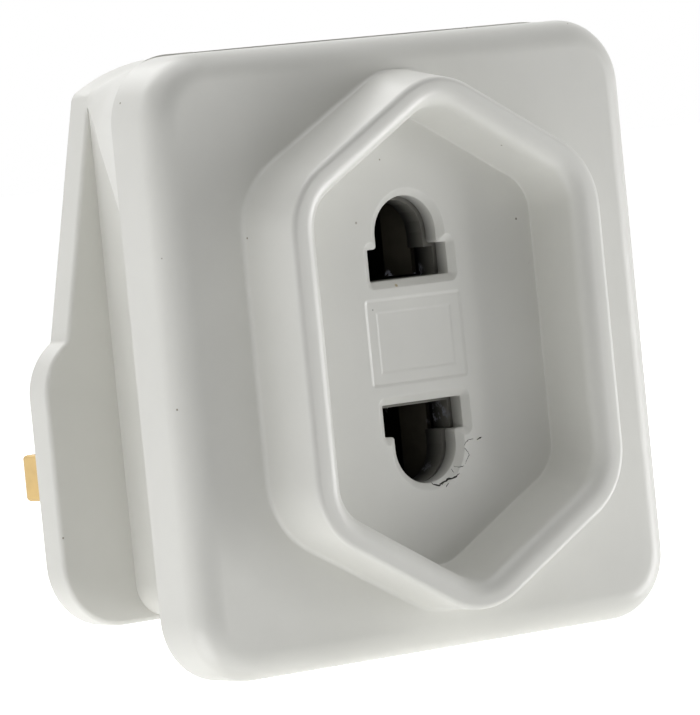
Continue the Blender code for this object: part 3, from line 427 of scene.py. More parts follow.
# Small marks on the cover (place and reach in mm, colour) and dust on the parts in the slots.
COVER_MARKS = (((11.20, -21.67, 18.36), 0.13, (0.20, 0.18, 0.15)),
               ((15.12, -24.0, 19.31), 0.12, (0.35, 0.33, 0.28)),
               ((-5.12, -21.67, 19.51), 0.14, (0.40, 0.38, 0.33)),
               ((-1.62, -21.60, 14.14), 0.20, (0.52, 0.44, 0.26)),
               ((-4.25, -21.67, 12.36), 0.13, (0.16, 0.15, 0.12)))
DUST_SPOTS = (((3.84, -17.6, 14.75), 0.9), ((2.10, -15.6, 14.75), 0.55), ((1.95, -14.4, 14.7), 0.4),
              ((3.84, -18.4, 2.9), 1.5), ((2.2, -18.3, -1.2), 0.8), ((1.95, -13.95, 3.7), 0.5))
DUST_COLOUR = (0.42, 0.43, 0.50, 1.0)
SPECK_COLOUR = (0.30, 0.27, 0.21, 1.0)
# Painted light: the grey at the front of the holder in the slots, standing for the light that falls there.
HOLDER_LIT_GREY = (0.24, 0.235, 0.21, 1.0)
# Painted shade: the near-black colours of the crack beside the lower slot.
CRACK_SHADE_COLOURS = (0.020, 0.018, 0.014, 1.0), (0.11, 0.10, 0.08, 1.0)
# Painted shade: the contacts in the slots are near black, standing for the shade deep in the slots.
SHADE_DARK_BRONZE_COLOURS = (0.034, 0.031, 0.024, 1.0), (0.014, 0.013, 0.010, 1.0)
CERAMIC_COLOUR = (0.86, 0.84, 0.78, 1.0)


def new_finish(name):
    """Material of a name: its node tree, its shader and an Object coordinate socket."""
    material = bpy.data.materials.new(name)
    material.use_nodes = True
    tree = material.node_tree
    return tree, tree.nodes["Principled BSDF"], tree.nodes.new("ShaderNodeTexCoord").outputs["Object"]


def feed(tree, value, socket):
    """Give a socket its value: a link from another socket, or a plain number, vector or colour."""
    if isinstance(value, bpy.types.NodeSocket):
        tree.links.new(value, socket)
    else:
        socket.default_value = value


def add_math(tree, operation, first, second):
    """One sum of two values; each is a socket or a number."""
    node = tree.nodes.new("ShaderNodeMath")
    node.operation = operation
    feed(tree, first, node.inputs[0])
    feed(tree, second, node.inputs[1])
    return node.outputs["Value"]


def add_vector_math(tree, operation, first, second=(0.0, 0.0, 0.0)):
    """Outputs of one vector sum; each operand is a socket or three numbers."""
    node = tree.nodes.new("ShaderNodeVectorMath")
    node.operation = operation
    feed(tree, first, node.inputs[0])
    feed(tree, second, node.inputs[1])
    return node.outputs


def split(tree, value, kind="XYZ"):
    """The three outputs of a vector's or a colour's parts."""
    node = tree.nodes.new("ShaderNodeSeparate" + kind)
    tree.links.new(value, node.inputs[0])
    return node.outputs


def add_noise(tree, where, scale, detail=3.0, roughness=0.5):
    """Noise value at a number of waves per metre."""
    node = tree.nodes.new("ShaderNodeTexNoise")
    tree.links.new(where, node.inputs["Vector"])
    node.inputs["Scale"].default_value = scale
    node.inputs["Detail"].default_value = detail
    node.inputs["Roughness"].default_value = roughness
    return node.outputs["Fac"]


def add_range(tree, value, low, high, to_low, to_high, kind="LINEAR"):
    """Map a value from one range to another."""
    node = tree.nodes.new("ShaderNodeMapRange")
    node.interpolation_type = kind
    tree.links.new(value, node.inputs["Value"])
    node.inputs["From Min"].default_value = low
    node.inputs["From Max"].default_value = high
    node.inputs["To Min"].default_value = to_low
    node.inputs["To Max"].default_value = to_high
    return node.outputs["Result"]


def add_mix(tree, factor, first, second, blend="MIX"):
    """Mix two colours; each is a socket or a colour."""
    node = tree.nodes.new("ShaderNodeMix")
    node.data_type = "RGBA"
    node.blend_type = blend
    for value, socket in ((factor, node.inputs[0]), (first, node.inputs[6]), (second, node.inputs[7])):
        feed(tree, value, socket)
    return node.outputs[2]


def add_bump(tree, shader, height, strength, distance):
    """Feed a height into the shader's normal."""
    node = tree.nodes.new("ShaderNodeBump")
    node.inputs["Strength"].default_value = strength
    node.inputs["Distance"].default_value = distance
    tree.links.new(height, node.inputs["Height"])
    tree.links.new(node.outputs["Normal"], shader.inputs["Normal"])


def add_specks(tree, where, scale, size, share):
    """Sparse round specks: 1 inside a speck and 0 outside. A share of the cells holds one each."""
    cells = tree.nodes.new("ShaderNodeTexVoronoi")
    tree.links.new(where, cells.inputs["Vector"])
    cells.inputs["Scale"].default_value = scale
    dot = add_range(tree, cells.outputs["Distance"], size * 0.6, size, 1.0, 0.0)
    chance = split(tree, cells.outputs["Color"], "Color")["Red"]
    kept = add_range(tree, chance, share, share + 0.01, 1.0, 0.0)
    return add_math(tree, "MULTIPLY", dot, kept)


def add_near(tree, where, point, reach):
    """1 at a point given in mm, falling to 0 at a distance in mm."""
    gap = add_vector_math(tree, "DISTANCE", where, tuple(value * MM for value in point))["Value"]
    return add_range(tree, gap, reach * 0.4 * MM, reach * MM, 1.0, 0.0, "SMOOTHSTEP")


def add_dust(tree, where, base):
    """Lay ragged dust over a base colour round the dusty places, each with its reach."""
    grit = add_range(tree, add_noise(tree, where, 1500.0, 5.0, 0.7), 0.5, 0.62, 0.0, 1.0)
    for point, reach in DUST_SPOTS:
        dusty = add_math(tree, "MULTIPLY", add_near(tree, where, point, reach), grit)
        base = add_mix(tree, dusty, base, DUST_COLOUR)
    return base


def add_marks(tree, where, base):
    """The small marks that lie at known places on the cover."""
    for point, reach, colour in COVER_MARKS:
        base = add_mix(tree, add_near(tree, where, point, reach), base, colour + (1.0,))
    return base


def add_slot_painted_shade(tree, where, base, slot_shade_colour):
    """Painted shade on the slots' walls: darker from the floor's face backwards, within 6 mm of the slots'
    middle on a distance that counts heights at 0.4 of their size."""
    deep = add_range(tree, split(tree, where)["Y"], -21.1 * MM, -19.7 * MM, 0.0, 1.0)
    place = add_vector_math(tree, "SUBTRACT", where, (0.0, 0.0, SLOT_CENTRE_Z))["Vector"]
    scaled = add_vector_math(tree, "MULTIPLY", place, (1.0, 0.0, 0.4))["Vector"]
    away = add_vector_math(tree, "LENGTH", scaled)["Value"]
    inside = add_math(tree, "LESS_THAN", away, 6.0 * MM)
    return add_mix(tree, add_math(tree, "MULTIPLY", deep, inside), base, slot_shade_colour)


def shade(colour, factor):
    """A colour made lighter or darker."""
    return tuple(min(1.0, value * factor) for value in colour[:3]) + (1.0,)


def moulded_plastic(name, colour, roughness, specks=1.0, grain=1.0, marks_and_slot_shade=False):
    """Satin moulded plastic: faint mottling, fine specks, cloudy gloss and a very fine grain. Where the flag
    is set it has the cover's marks, and painted shade darkens the walls of the slots towards the back."""
    tree, shader, where = new_finish(name)
    cloud = add_noise(tree, where, 90.0, 4.0, 0.6)
    mottle = add_range(tree, cloud, 0.3, 0.7, 0.0, 1.0)
    base = add_mix(tree, mottle, shade(colour, 0.975), shade(colour, 1.02))
    speck = add_specks(tree, where, 420.0, 0.045, 0.10 * specks)
    dirty = add_mix(tree, speck, base, SPECK_COLOUR)
    smear = add_range(tree, add_noise(tree, where, 260.0, 5.0, 0.65), 0.55, 0.8, 0.0, 0.12)
    final = add_mix(tree, smear, dirty, shade(colour, 0.93))
    if marks_and_slot_shade:
        # Painted shade: the slots' walls darken to 0.42 of the colour towards the back.
        final = add_slot_painted_shade(tree, where, add_marks(tree, where, final), shade(colour, 0.42))
    tree.links.new(final, shader.inputs["Base Color"])
    gloss = add_range(tree, add_noise(tree, where, 150.0, 3.0), 0.3, 0.7, roughness - 0.04, roughness + 0.05)
    tree.links.new(gloss, shader.inputs["Roughness"])
    add_bump(tree, shader, add_noise(tree, where, 2600.0, 2.0), 0.25 * grain, 0.012 * MM)
    shader.inputs["IOR"].default_value = 1.5
    shader.inputs["Specular IOR Level"].default_value = 0.5


def worked_metal(name, colour, tarnish_and_shade, roughness, stretch, dusty=False):
    """Stamped or drawn metal: fine draw lines along one axis, cloudy tarnish and small scuffs."""
    tree, shader, where = new_finish(name)
    lines = tree.nodes.new("ShaderNodeMapping")
    tree.links.new(where, lines.inputs["Vector"])
    lines.inputs["Scale"].default_value = stretch
    grain = add_noise(tree, lines.outputs["Vector"], 900.0, 3.0, 0.6)
    cloud = add_range(tree, add_noise(tree, where, 230.0, 5.0, 0.6), 0.4, 0.75, 0.0, 0.8)
    base = add_mix(tree, cloud, colour, tarnish_and_shade)
    if dusty:
        base = add_dust(tree, where, base)
    tree.links.new(base, shader.inputs["Base Color"])
    shader.inputs["Metallic"].default_value = 1.0
    rough = add_range(tree, grain, 0.3, 0.7, roughness - 0.06, roughness + 0.09)
    tree.links.new(rough, shader.inputs["Roughness"])
    add_bump(tree, shader, grain, 0.3, 0.01 * MM)


def crack_painted_shade():
    """Painted shade in the crack beside the lower slot: near-black, mottled by fine noise."""
    tree, shader, where = new_finish("crack_painted_shade")
    grain = add_noise(tree, where, 1800.0, 3.0)
    tree.links.new(add_mix(tree, grain, *CRACK_SHADE_COLOURS), shader.inputs["Base Color"])
    tree.links.new(add_range(tree, grain, 0.2, 0.8, 0.8, 0.95), shader.inputs["Roughness"])


def holder_dust_and_painted_light(colour):
    """Dark moulding with painted light round its mouths: the colour runs from a lit grey at the front to the
    dark one a few millimetres in, with specks of lint and dust."""
    tree, shader, where = new_finish("black_moulding")
    depth = split(tree, where)["Y"]
    # Painted light: grey at the holder's front, fading to its dark colour deeper in.
    painted_light = add_range(tree, depth, -19.8 * MM, -17.4 * MM, 1.0, 0.0, "SMOOTHSTEP")
    base = add_mix(tree, painted_light, colour, HOLDER_LIT_GREY)
    tree.links.new(add_dust(tree, where, base), shader.inputs["Base Color"])
    rough = add_range(tree, add_noise(tree, where, 500.0, 3.0), 0.3, 0.7, 0.5, 0.75)
    tree.links.new(rough, shader.inputs["Roughness"])


def glazed_ceramic(colour):
    """White ceramic of the fuse tube, with pin holes and a soft glaze."""
    tree, shader, where = new_finish("fuse_ceramic")
    cloud = add_noise(tree, where, 400.0, 4.0)
    pores = add_specks(tree, where, 1500.0, 0.16, 0.3)
    base = add_mix(tree, cloud, shade(colour, 0.94), shade(colour, 1.03))
    tree.links.new(add_mix(tree, pores, base, shade(colour, 0.6)), shader.inputs["Base Color"])
    tree.links.new(add_range(tree, cloud, 0.3, 0.7, 0.28, 0.45), shader.inputs["Roughness"])
    add_bump(tree, shader, cloud, 0.2, 0.02 * MM)


def opaque(colour):
    """A chosen colour with full alpha."""
    return tuple(colour) + (1.0,)


def make_finishes(colours):
    """Every finish of the adapter, made once and then found by name."""
    if "white_moulding" in bpy.data.materials:
        return
    brass, steel = opaque(colours.brass), opaque(colours.steel)
    moulded_plastic("white_moulding", opaque(colours.cover), colours.gloss, marks_and_slot_shade=True)
    moulded_plastic("white_base_moulding", opaque(colours.base), colours.gloss + 0.04)
    holder_dust_and_painted_light(opaque(colours.holder))
    moulded_plastic("sleeve_moulding", opaque(colours.sleeve), 0.38, 0.3, 1.6)
    worked_metal("pin_brass", brass, shade(brass, 0.72), 0.38, (1.0, 0.08, 1.0))
    worked_metal("strip_brass", brass, shade(brass, 0.6), 0.33, (1.0, 1.0, 0.1))
    # Painted shade on the contacts: near-black colours with real dust over them.
    worked_metal("bronze_in_painted_shade", *SHADE_DARK_BRONZE_COLOURS, 0.45, (1.0, 1.0, 0.1), dusty=True)
    worked_metal("plated_steel", steel, shade(steel, 0.8), 0.28, (0.2, 1.0, 1.0))
    glazed_ceramic(CERAMIC_COLOUR)
    crack_painted_shade()


def finish_named(name):
    """A finish that is already made."""
    return bpy.data.materials[name]


def repaint(node, name):
    """Give a CAD node a finish in place of its plain one."""
    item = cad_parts[node]
    for slot in item.material_slots:
        slot.material = finish_named(name)


# Front cover: one skin from the back of the floor, round the tray and over the collar to the floor.


def cover_outline(inset):
    """The cover's outline, inset all round."""
    corners = rectangle(COVER_HIGH.x, COVER_LOW.z - SLOT_CENTRE_Z, COVER_HIGH.z - SLOT_CENTRE_Z)
    return sampled(rounded_outline(corners, bpy.context.scene.adapter_sizes.cover_corner, -inset, 24))


def collar_outline(size, corner, grow):
    """The hexagon of the collar or recess, grown outwards."""
    return sampled(rounded_outline(hexagon(size), corner, grow, 20))


def tray_sections():
    """Outlines and depths of the cover from the back of its floor to the edge of its face. Each round is
    a quarter turn: inset and depth move by the radius times (1 - sin t) and (1 - cos t)."""
    soft = bpy.context.scene.adapter_sizes.front_round
    t = np.linspace(0, math.pi / 2, 5)
    opening, closing = 1 - np.sin(t), 1 - np.cos(t)
    inset = [COVER_WALL + TRAY_START]
    depth = [FLOOR_BACK_Y]
    inset += list(COVER_WALL + TRAY_ROUND * opening)
    depth += list(FLOOR_BACK_Y + TRAY_ROUND * closing)
    inset += list(COVER_WALL - TRAY_EDGE * closing)
    depth += list(COVER_BACK_Y - TRAY_EDGE * opening)
    inset += list(TRAY_EDGE * opening)
    depth += list(COVER_BACK_Y - TRAY_EDGE * closing)
    t = np.linspace(0, math.pi / 2, 16)
    inset += list(soft * (1 - np.cos(t)))
    depth += list(FACE_Y + soft * (1 - np.sin(t)))
    inset += [soft + 0.05 * MM, soft + 0.4 * MM]
    depth += [FACE_Y, FACE_Y]
    return [cover_outline(value) for value in inset], depth


def drafted_wall(height, first, last):
    """Steps up a wall that starts in a round and ends in one: how far up each section lies and how far it
    is grown, which is first (1 - sin t) in the first round and minus last (1 - cos t) in the last."""
    t = np.linspace(0, math.pi / 2, ROUND_STEPS)
    straight = np.linspace(first, height - last, WALL_STEPS + 2)[1:-1]
    rise = np.concatenate([first * (1 - np.cos(t)), straight, height - last * (1 - np.sin(t))])
    grow = np.concatenate([first * (1 - np.sin(t)), np.zeros(WALL_STEPS), -last * (1 - np.cos(t))])
    return rise, grow


def collar_sections():
    """Outlines and depths of the collar: foot round, drafted wall, rim rounds, recess wall, floor round.
    Size and lift run evenly from one end of each wall to the other."""
    sizes = bpy.context.scene.adapter_sizes
    out, depth = [], []
    for extra in (0.6 * MM, 0.05 * MM):
        out.append(collar_outline(COLLAR_FOOT, COLLAR_CORNER, sizes.foot_round + extra) + (0, FOOT_LIFT))
        depth.append(FACE_Y)
    height = FACE_Y - RIM_Y
    for up, wide in zip(*drafted_wall(height, sizes.foot_round, sizes.rim_round)):
        size = COLLAR_FOOT + (COLLAR_RIM - COLLAR_FOOT) * up / height
        lift = FOOT_LIFT - (FOOT_LIFT + RIM_DROP) * up / height
        out.append(collar_outline(size, COLLAR_CORNER, wide) + (0, lift))
        depth.append(FACE_Y - up)
    drop = FLOOR_Y - RIM_Y
    for down, wide in zip(*drafted_wall(drop, sizes.recess_lip, RECESS_FOOT_ROUND)):
        size = RECESS_RIM + (RECESS_FLOOR - RECESS_RIM) * down / drop
        out.append(collar_outline(size, RECESS_CORNER, wide) - (0, RECESS_DROP * (1 - down / drop)))
        depth.append(RIM_Y + down)
    for extra in (0.05 * MM, 0.5 * MM):
        out.append(collar_outline(RECESS_FLOOR, RECESS_CORNER, -(RECESS_FOOT_ROUND + extra)))
        depth.append(FLOOR_Y)
    return out, depth


def drawn_in(outlines, step):
    """Outlines held inside each other: each one's distance from the middle is at most the last one's less
    a small step. It lets the collar's foot run into the cover's front round at the two tips."""
    far = np.linalg.norm(outlines, axis=2)
    order = np.arange(len(outlines))[:, None] * step
    held = np.minimum.accumulate(far + order, axis=0) - order
    return outlines * (held / far)[:, :, None]


def eased_corner(start, corner, end, share):
    """Curve from start to end that leans on a corner: (1 - s)^2 start + 2 s (1 - s) corner + s^2 end."""
    share = np.asarray(share)[:, None]
    return (1 - share) ** 2 * start + 2 * share * (1 - share) * corner + share ** 2 * end


def slot_cutter(side):
    """Cutter of one slot: a rounded lip, a wide shallow bevel, a soft inner edge and the straight bore."""
    sizes = bpy.context.scene.adapter_sizes
    wide, deep = sizes.slot_bevel, sizes.slot_bevel_depth
    slope = np.array((-wide, deep)) / math.hypot(wide, deep)
    t = np.linspace(0, 1, 4)
    top, low = np.array((wide, 0.0)), np.array((0.0, deep))
    lip = eased_corner(top + (BEVEL_LIP, 0), top, top + slope * BEVEL_LIP, t)
    edge = eased_corner(low - slope * BEVEL_EDGE, low, low + (0, BEVEL_EDGE), t)
    front, back = (wide + BEVEL_LIP, -1 * MM), (0.0, FLOOR_BACK_Y - FLOOR_Y + 0.5 * MM)
    path = np.concatenate([[front], lip, edge, [back]])
    outlines = [keyhole(side, grow) for grow in path[:, 0]]
    return skin("slot_cutter", rings(outlines, FLOOR_Y + path[:, 1]))


def panel_cutter():
    """Cutter of the panel between the slots: two shallow steps, one inside the other. Along each the
    depth is half its height times (1 - cos pi t) while the outline draws in evenly with t."""
    deep = bpy.context.scene.adapter_sizes.panel_depth
    t = np.linspace(0, 1, 8)
    swell = (1 - np.cos(math.pi * t)) / 2
    inset = np.concatenate([[0.0], PANEL_STEP * t, PANEL_INNER + PANEL_INNER_STEP * t, [PANEL_END]])
    depth = np.concatenate([[-0.5 * MM], deep * swell, deep + PANEL_INNER_DEPTH * swell,
                            [deep + PANEL_INNER_DEPTH]])
    corners = rectangle(PANEL_HALF_WIDTH, PANEL_LOW, PANEL_HIGH) - (PANEL_SHIFT, 0.0)
    outlines = [rounded_outline(corners, PANEL_CORNER, -value, 8) for value in inset]
    return skin("panel_cutter", rings(outlines, FLOOR_Y + depth))


# The crack and chips beside the lower slot: width, depth and the path from the slots' centre, in mm.
CRACKS = (
    (0.16, 0.25, ((5.45, -8.46), (4.95, -8.62))),
    (0.07, 0.5, ((4.60, -8.55), (4.11, -8.57), (3.81, -8.72), (3.64, -8.96))),
    (0.08, 0.5, ((3.60, -9.15), (3.90, -9.48), (4.01, -9.79), (3.83, -10.06), (3.50, -10.47))),
    (0.07, 0.8, ((2.55, -10.52), (3.01, -10.68), (3.39, -10.61))),
    (0.20, 0.8, ((2.85, -11.15), (2.45, -11.40), (1.77, -11.54), (1.18, -11.77), (0.80, -11.92),
                 (0.34, -11.75), (0.18, -11.58))),
    (0.10, 0.2, ((1.34, -12.12), (1.65, -11.80))),
    (0.06, 0.8, ((2.28, -10.72), (2.38, -11.06))),
)


def groove(number, width, depth, points):
    """A thin jagged wedge along a path on the floor: at each point the two edges stand half the local
    width to either side, and the width swells and pinches from point to point."""
    points = np.asarray(points, float) * MM
    random = np.random.default_rng(5 + number)
    share = np.linspace(0, len(points) - 1, len(points) * 3)
    path = np.stack([np.interp(share, np.arange(len(points)), points[:, k]) for k in (0, 1)], axis=1)
    path[1:-1] += random.normal(0, 0.025 * MM, path[1:-1].shape)
    along = np.gradient(path, axis=0)
    along /= np.linalg.norm(along, axis=1)[:, None]
    across = np.stack([along[:, 1], -along[:, 0]], axis=1)
    ends = np.sin(np.linspace(0.12, math.pi - 0.12, len(path))) ** 0.5
    half = width * MM / 2 * ends * random.uniform(0.5, 1.2, len(path))
    grid = np.empty((len(path), 4, 3))
    for column, (side, down) in enumerate(((-1, -0.12), (1, -0.12), (0.4, depth), (-0.4, depth))):
        flat = path + across * (half * side)[:, None]
        grid[:, column, 0] = flat[:, 0]
        grid[:, column, 1] = FLOOR_Y + down * MM
        grid[:, column, 2] = flat[:, 1] + SLOT_CENTRE_Z
    return skin("crack", grid)


class ADAPTER_OT_front_cover(bpy.types.Operator):
    """Make the front cover with its collar, recess, slots, stepped panel and the worn slot edge"""

    bl_idname = "adapter.front_cover"
    bl_label = "Front cover"

    def execute(self, context):
        make_finishes(context.scene.adapter_colours)
        outlines, depth = tray_sections()
        more, deeper = collar_sections()
        face = slice(len(outlines) - 2, len(outlines) + 2 + ROUND_STEPS)
        outlines = np.array(outlines + more)
        outlines[face] = drawn_in(outlines[face], 0.01 * MM)
        cover = skin("cover_moulding", rings(outlines, depth + deeper))
        finishes = [finish_named("white_moulding"), finish_named("crack_painted_shade")]
        paint_all(cover, finishes)
        for cutter in (slot_cutter(1), slot_cutter(-1), panel_cutter()):
            paint_all(cutter, finishes)
            carve(cover, [cutter])
        for number, line in enumerate(CRACKS):
            crack = groove(number, *line)
            paint_all(crack, finishes)
            # The crack's faces take the painted shade.
            crack.data.polygons.foreach_set("material_index", [1] * len(crack.data.polygons))
            carve(cover, [crack])
        carve(cover, [self.post(place) for place in SCREW_PLACES] + [self.tongue()], "UNION")
        carve(cover, [self.bore(place) for place in SCREW_PLACES])
        finish_piece(cover, "front_cover")
        return {"FINISHED"}

    def post(self, place):
        """A screw post: a turned profile with a softened end."""
        profile = [(-20.4 * MM, POST_RADIUS), (-5.1 * MM, POST_RADIUS),
                   (-4.95 * MM, POST_RADIUS - 0.06 * MM), (-4.9 * MM, POST_RADIUS - 0.2 * MM)]
        return turned("screw_post", profile, "Y", place)

    def bore(self, place):
        """Cutter of a post's straight bore."""
        return turned("post_bore", [(-14.2 * MM, SCREW_BORE), (-3.9 * MM, SCREW_BORE)], "Y", place)

    def tongue(self):
        """The tongue that steadies the waist's lower wall."""
        low = SLOT_CENTRE_Z + WAIST_BOTTOM + 2.1 * MM
        return box_piece("tongue", (-5 * MM, -20.4 * MM, low), (5 * MM, -11.5 * MM, low + 1.2 * MM),
                         0.2 * MM, 0.2 * MM)


# Rear shell: flange, waist, top block and closing plate, hollowed for the works.


def mirrored(right, radii):
    """Corners of an outline from those of its right side, taken upwards, with their radii."""
    right, radii = np.array(right), np.array(radii)
    return np.concatenate([right, right[::-1] * (-1, 1)]), np.concatenate([radii, radii[::-1]])


def flange_plate():
    """The base flange with softened front and back edges: foot, ear, taper, shoulder and wide arch."""
    side, arch = SHELL_HIGH.x, (ARCH_HALF_WIDTH, SHELL_TOP)
    corners, radii = mirrored([(side, SHELL_BOTTOM), (side, EAR_TOP), TAPER_FOOT, SHOULDER, arch],
                              [FOOT_RADIUS, EAR_RADIUS, TAPER_RADIUS, SHOULDER_RADIUS, ARCH_RADIUS])
    soft = bpy.context.scene.adapter_sizes.flange_round
    grow, depth = softened_ends(FLANGE_FRONT_Y, 0.0, soft, 6, FLANGE_BACK_ROUND)
    return skin("base_moulding", rings([rounded_outline(corners, radii, g, 12) for g in grow], depth))


def grip_wedge():
    """Cutter of the finger grip: everything under a slope that climbs from the cover to the base."""
    slope = (GRIP_TOP_BACK - GRIP_TOP_FRONT) / (FLANGE_FRONT_Y - GRIP_FRONT_Y)
    near, far, low = -17 * MM, FLANGE_FRONT_Y + 0.03 * MM, -5 * MM
    edge = [(near, low), (far, low), (far, GRIP_TOP_FRONT + slope * (far - GRIP_FRONT_Y)),
            (near, GRIP_TOP_FRONT + slope * (near - GRIP_FRONT_Y))]
    wedge = np.empty((2, 4, 3))
    wedge[0, :, 0], wedge[1, :, 0] = -26 * MM, 26 * MM
    wedge[..., 1:] = np.array(edge) + (0, SLOT_CENTRE_Z)
    return skin("grip_wedge", wedge)


def top_block():
    """The block behind the cover's top. Its sections run from the cover's outline to the base's outline: at
    share s of the way they are (1 - s) times the first plus s times the second, ray by ray. It is cut
    along the finger grip and, at the top, by the narrow seam behind the cover."""
    radii = [0.5 * MM, 0.5 * MM, BLOCK_FRONT_RADIUS, BLOCK_FRONT_RADIUS]
    front = rounded_outline(rectangle(BLOCK_FRONT_HALF_WIDTH, BLOCK_LOW, SHELL_TOP), radii, 0.0, 24)
    corners, radii = mirrored([(BLOCK_BACK_HALF_WIDTH, BLOCK_LOW), (BLOCK_BACK_HALF_WIDTH, BLOCK_BACK_TOP),
                               SHOULDER, (ARCH_HALF_WIDTH, SHELL_TOP)],
                              [0.5 * MM, 0.2 * MM, SHOULDER_RADIUS, ARCH_RADIUS])
    back = rounded_outline(corners, radii, 0.004 * MM, 24)
    middle = np.array((0.0, BLOCK_MIDDLE))
    front, back = sampled(front - middle) + middle, sampled(back - middle) + middle
    share = np.append(np.linspace(0, 1, 10), 1.0)
    depth = SHELL_FRONT_Y + (FLANGE_FRONT_Y - SHELL_FRONT_Y) * share
    depth[-1] += BLOCK_SINK
    block = skin("top_block", rings(front + (back - front) * share[:, None, None], depth))
    low, high = (np.array(corner) + (0, 0, SLOT_CENTRE_Z) for corner in (SEAM_LOW, SEAM_HIGH))
    return carve(block, [grip_wedge(), box_piece("seam", low, high, 0.1 * MM)])


def flared_cutter(name, half, centre, start, flare):
    """Cutter of an opening in the back face: straight, then flared by a small round at the face."""
    t = np.linspace(0, math.pi / 2, 5)
    grow = np.concatenate([[0.0], flare * (1 - np.cos(t)), [flare]])
    depth = np.concatenate([[start], -flare * (1 - np.sin(t)), [1 * MM]])
    corners = rectangle(half[0], -half[1], half[1])
    return skin(name, rings([rounded_outline(corners, 0.3 * MM, g, 6) for g in grow], depth, centre))


def earth_pin():
    """The moulded earth pin: a rounded rectangle whose last part draws in to a blunt, soft tip."""
    start = EARTH_LENGTH - EARTH_TIP
    t, steps = np.linspace(0, math.pi / 2, 6), np.linspace(0, 1, 5)[1:-1]
    pull = np.concatenate([[0.0, 0.0], steps ** 1.15, 1 - 0.12 * np.cos(t)])
    depth = np.concatenate([[-1.0 * MM, start], start + (EARTH_TIP - EARTH_TIP_ROUND) * steps,
                            EARTH_LENGTH - EARTH_TIP_ROUND * (1 - np.sin(t))])
    outlines = []
    for draw in pull * EARTH_TIP:
        corners = rectangle(EARTH_HALF[0] - draw / 2, draw - EARTH_HALF[1], EARTH_HALF[1] - draw)
        outlines.append(rounded_outline(corners, EARTH_CORNER, 0.0, 8))
    return skin("earth_pin_moulding", rings(outlines, depth, (0.0, EARTH_Z)))


def prism(name, corners, radii, start, end, steps):
    """Straight block with rounded uprights between two depths."""
    outline = rounded_outline(corners, radii, 0.0, steps)
    return skin(name, rings([outline, outline], [start, end]))


class ADAPTER_OT_rear_shell(bpy.types.Operator):
    """Make the rear shell: softened base, waist, sloping top block, earth pin and the back's openings"""

    bl_idname = "adapter.rear_shell"
    bl_label = "Rear shell"

    def execute(self, context):
        make_finishes(context.scene.adapter_colours)
        shell = flange_plate()
        radii = [WAIST_CORNER, WAIST_CORNER, 0.2 * MM, 0.2 * MM]
        waist = prism("waist", rectangle(WAIST_HALF_WIDTH, WAIST_BOTTOM, WAIST_TOP), radii,
                      WAIST_FRONT_Y, WAIST_BACK_Y, 12)
        plate = prism("closing_plate", rectangle(CLOSER_HALF_WIDTH, CLOSER_LOW, CLOSER_HIGH), CLOSER_CORNER,
                      CLOSER_FRONT_Y, CLOSER_BACK_Y, 10)
        carve(shell, [waist, top_block(), plate], "UNION")
        inside = rectangle(HOLLOW_HALF_WIDTH, WAIST_BOTTOM + SHELL_WALL, SHELL_TOP - SHELL_WALL)
        carve(shell, [prism("hollow", inside, WAIST_CORNER, HOLLOW_FRONT_Y, SHELL_FLOOR_Y, 8)])
        wide, high = FUSE_WELL_HALF
        well = box_piece("fuse_well", (-wide, FUSE_WELL_FRONT_Y, SLOT_CENTRE_Z - high),
                         (wide, -1.5 * MM, SLOT_CENTRE_Z + high), 0.3 * MM)
        bosses = [turned("boss", [(-4.6 * MM, BOSS_RADIUS), (-1.5 * MM, BOSS_RADIUS)], "Y", place)
                  for place in SCREW_PLACES]
        carve(shell, [well] + bosses + [earth_pin()], "UNION")
        carve(shell, self.openings())
        paint_all(shell, [finish_named("white_base_moulding")])
        finish_piece(shell, "rear_shell")
        return {"FINISHED"}

    def openings(self):
        """Cutters for the pins, the fuse carrier and the case screws, each with a softened lip."""
        cutters = [flared_cutter("fuse_opening", FUSE_OPENING_HALF, (0.0, SLOT_CENTRE_Z),
                                 FUSE_OPENING_FRONT_Y, FUSE_OPENING_FLARE)]
        lip = SCREW_HEAD_HOLE + SCREW_HEAD_FLARE
        profile = [(-6 * MM, SCREW_BORE), (SCREW_SEAT_Y, SCREW_BORE), (SCREW_SEAT_Y, SCREW_HEAD_HOLE),
                   (-SCREW_HEAD_FLARE, SCREW_HEAD_HOLE), (0.0, lip), (1 * MM, lip)]
        for side, place in zip((-1, 1), SCREW_PLACES):
            centre = (side * PIN_X, 0.0)
            cutters.append(flared_cutter("pin_hole", PIN_HOLE_HALF, centre, -3 * MM, PIN_HOLE_FLARE))
            cutters.append(turned("screw_hole", profile, "Y", place))
        return cutters


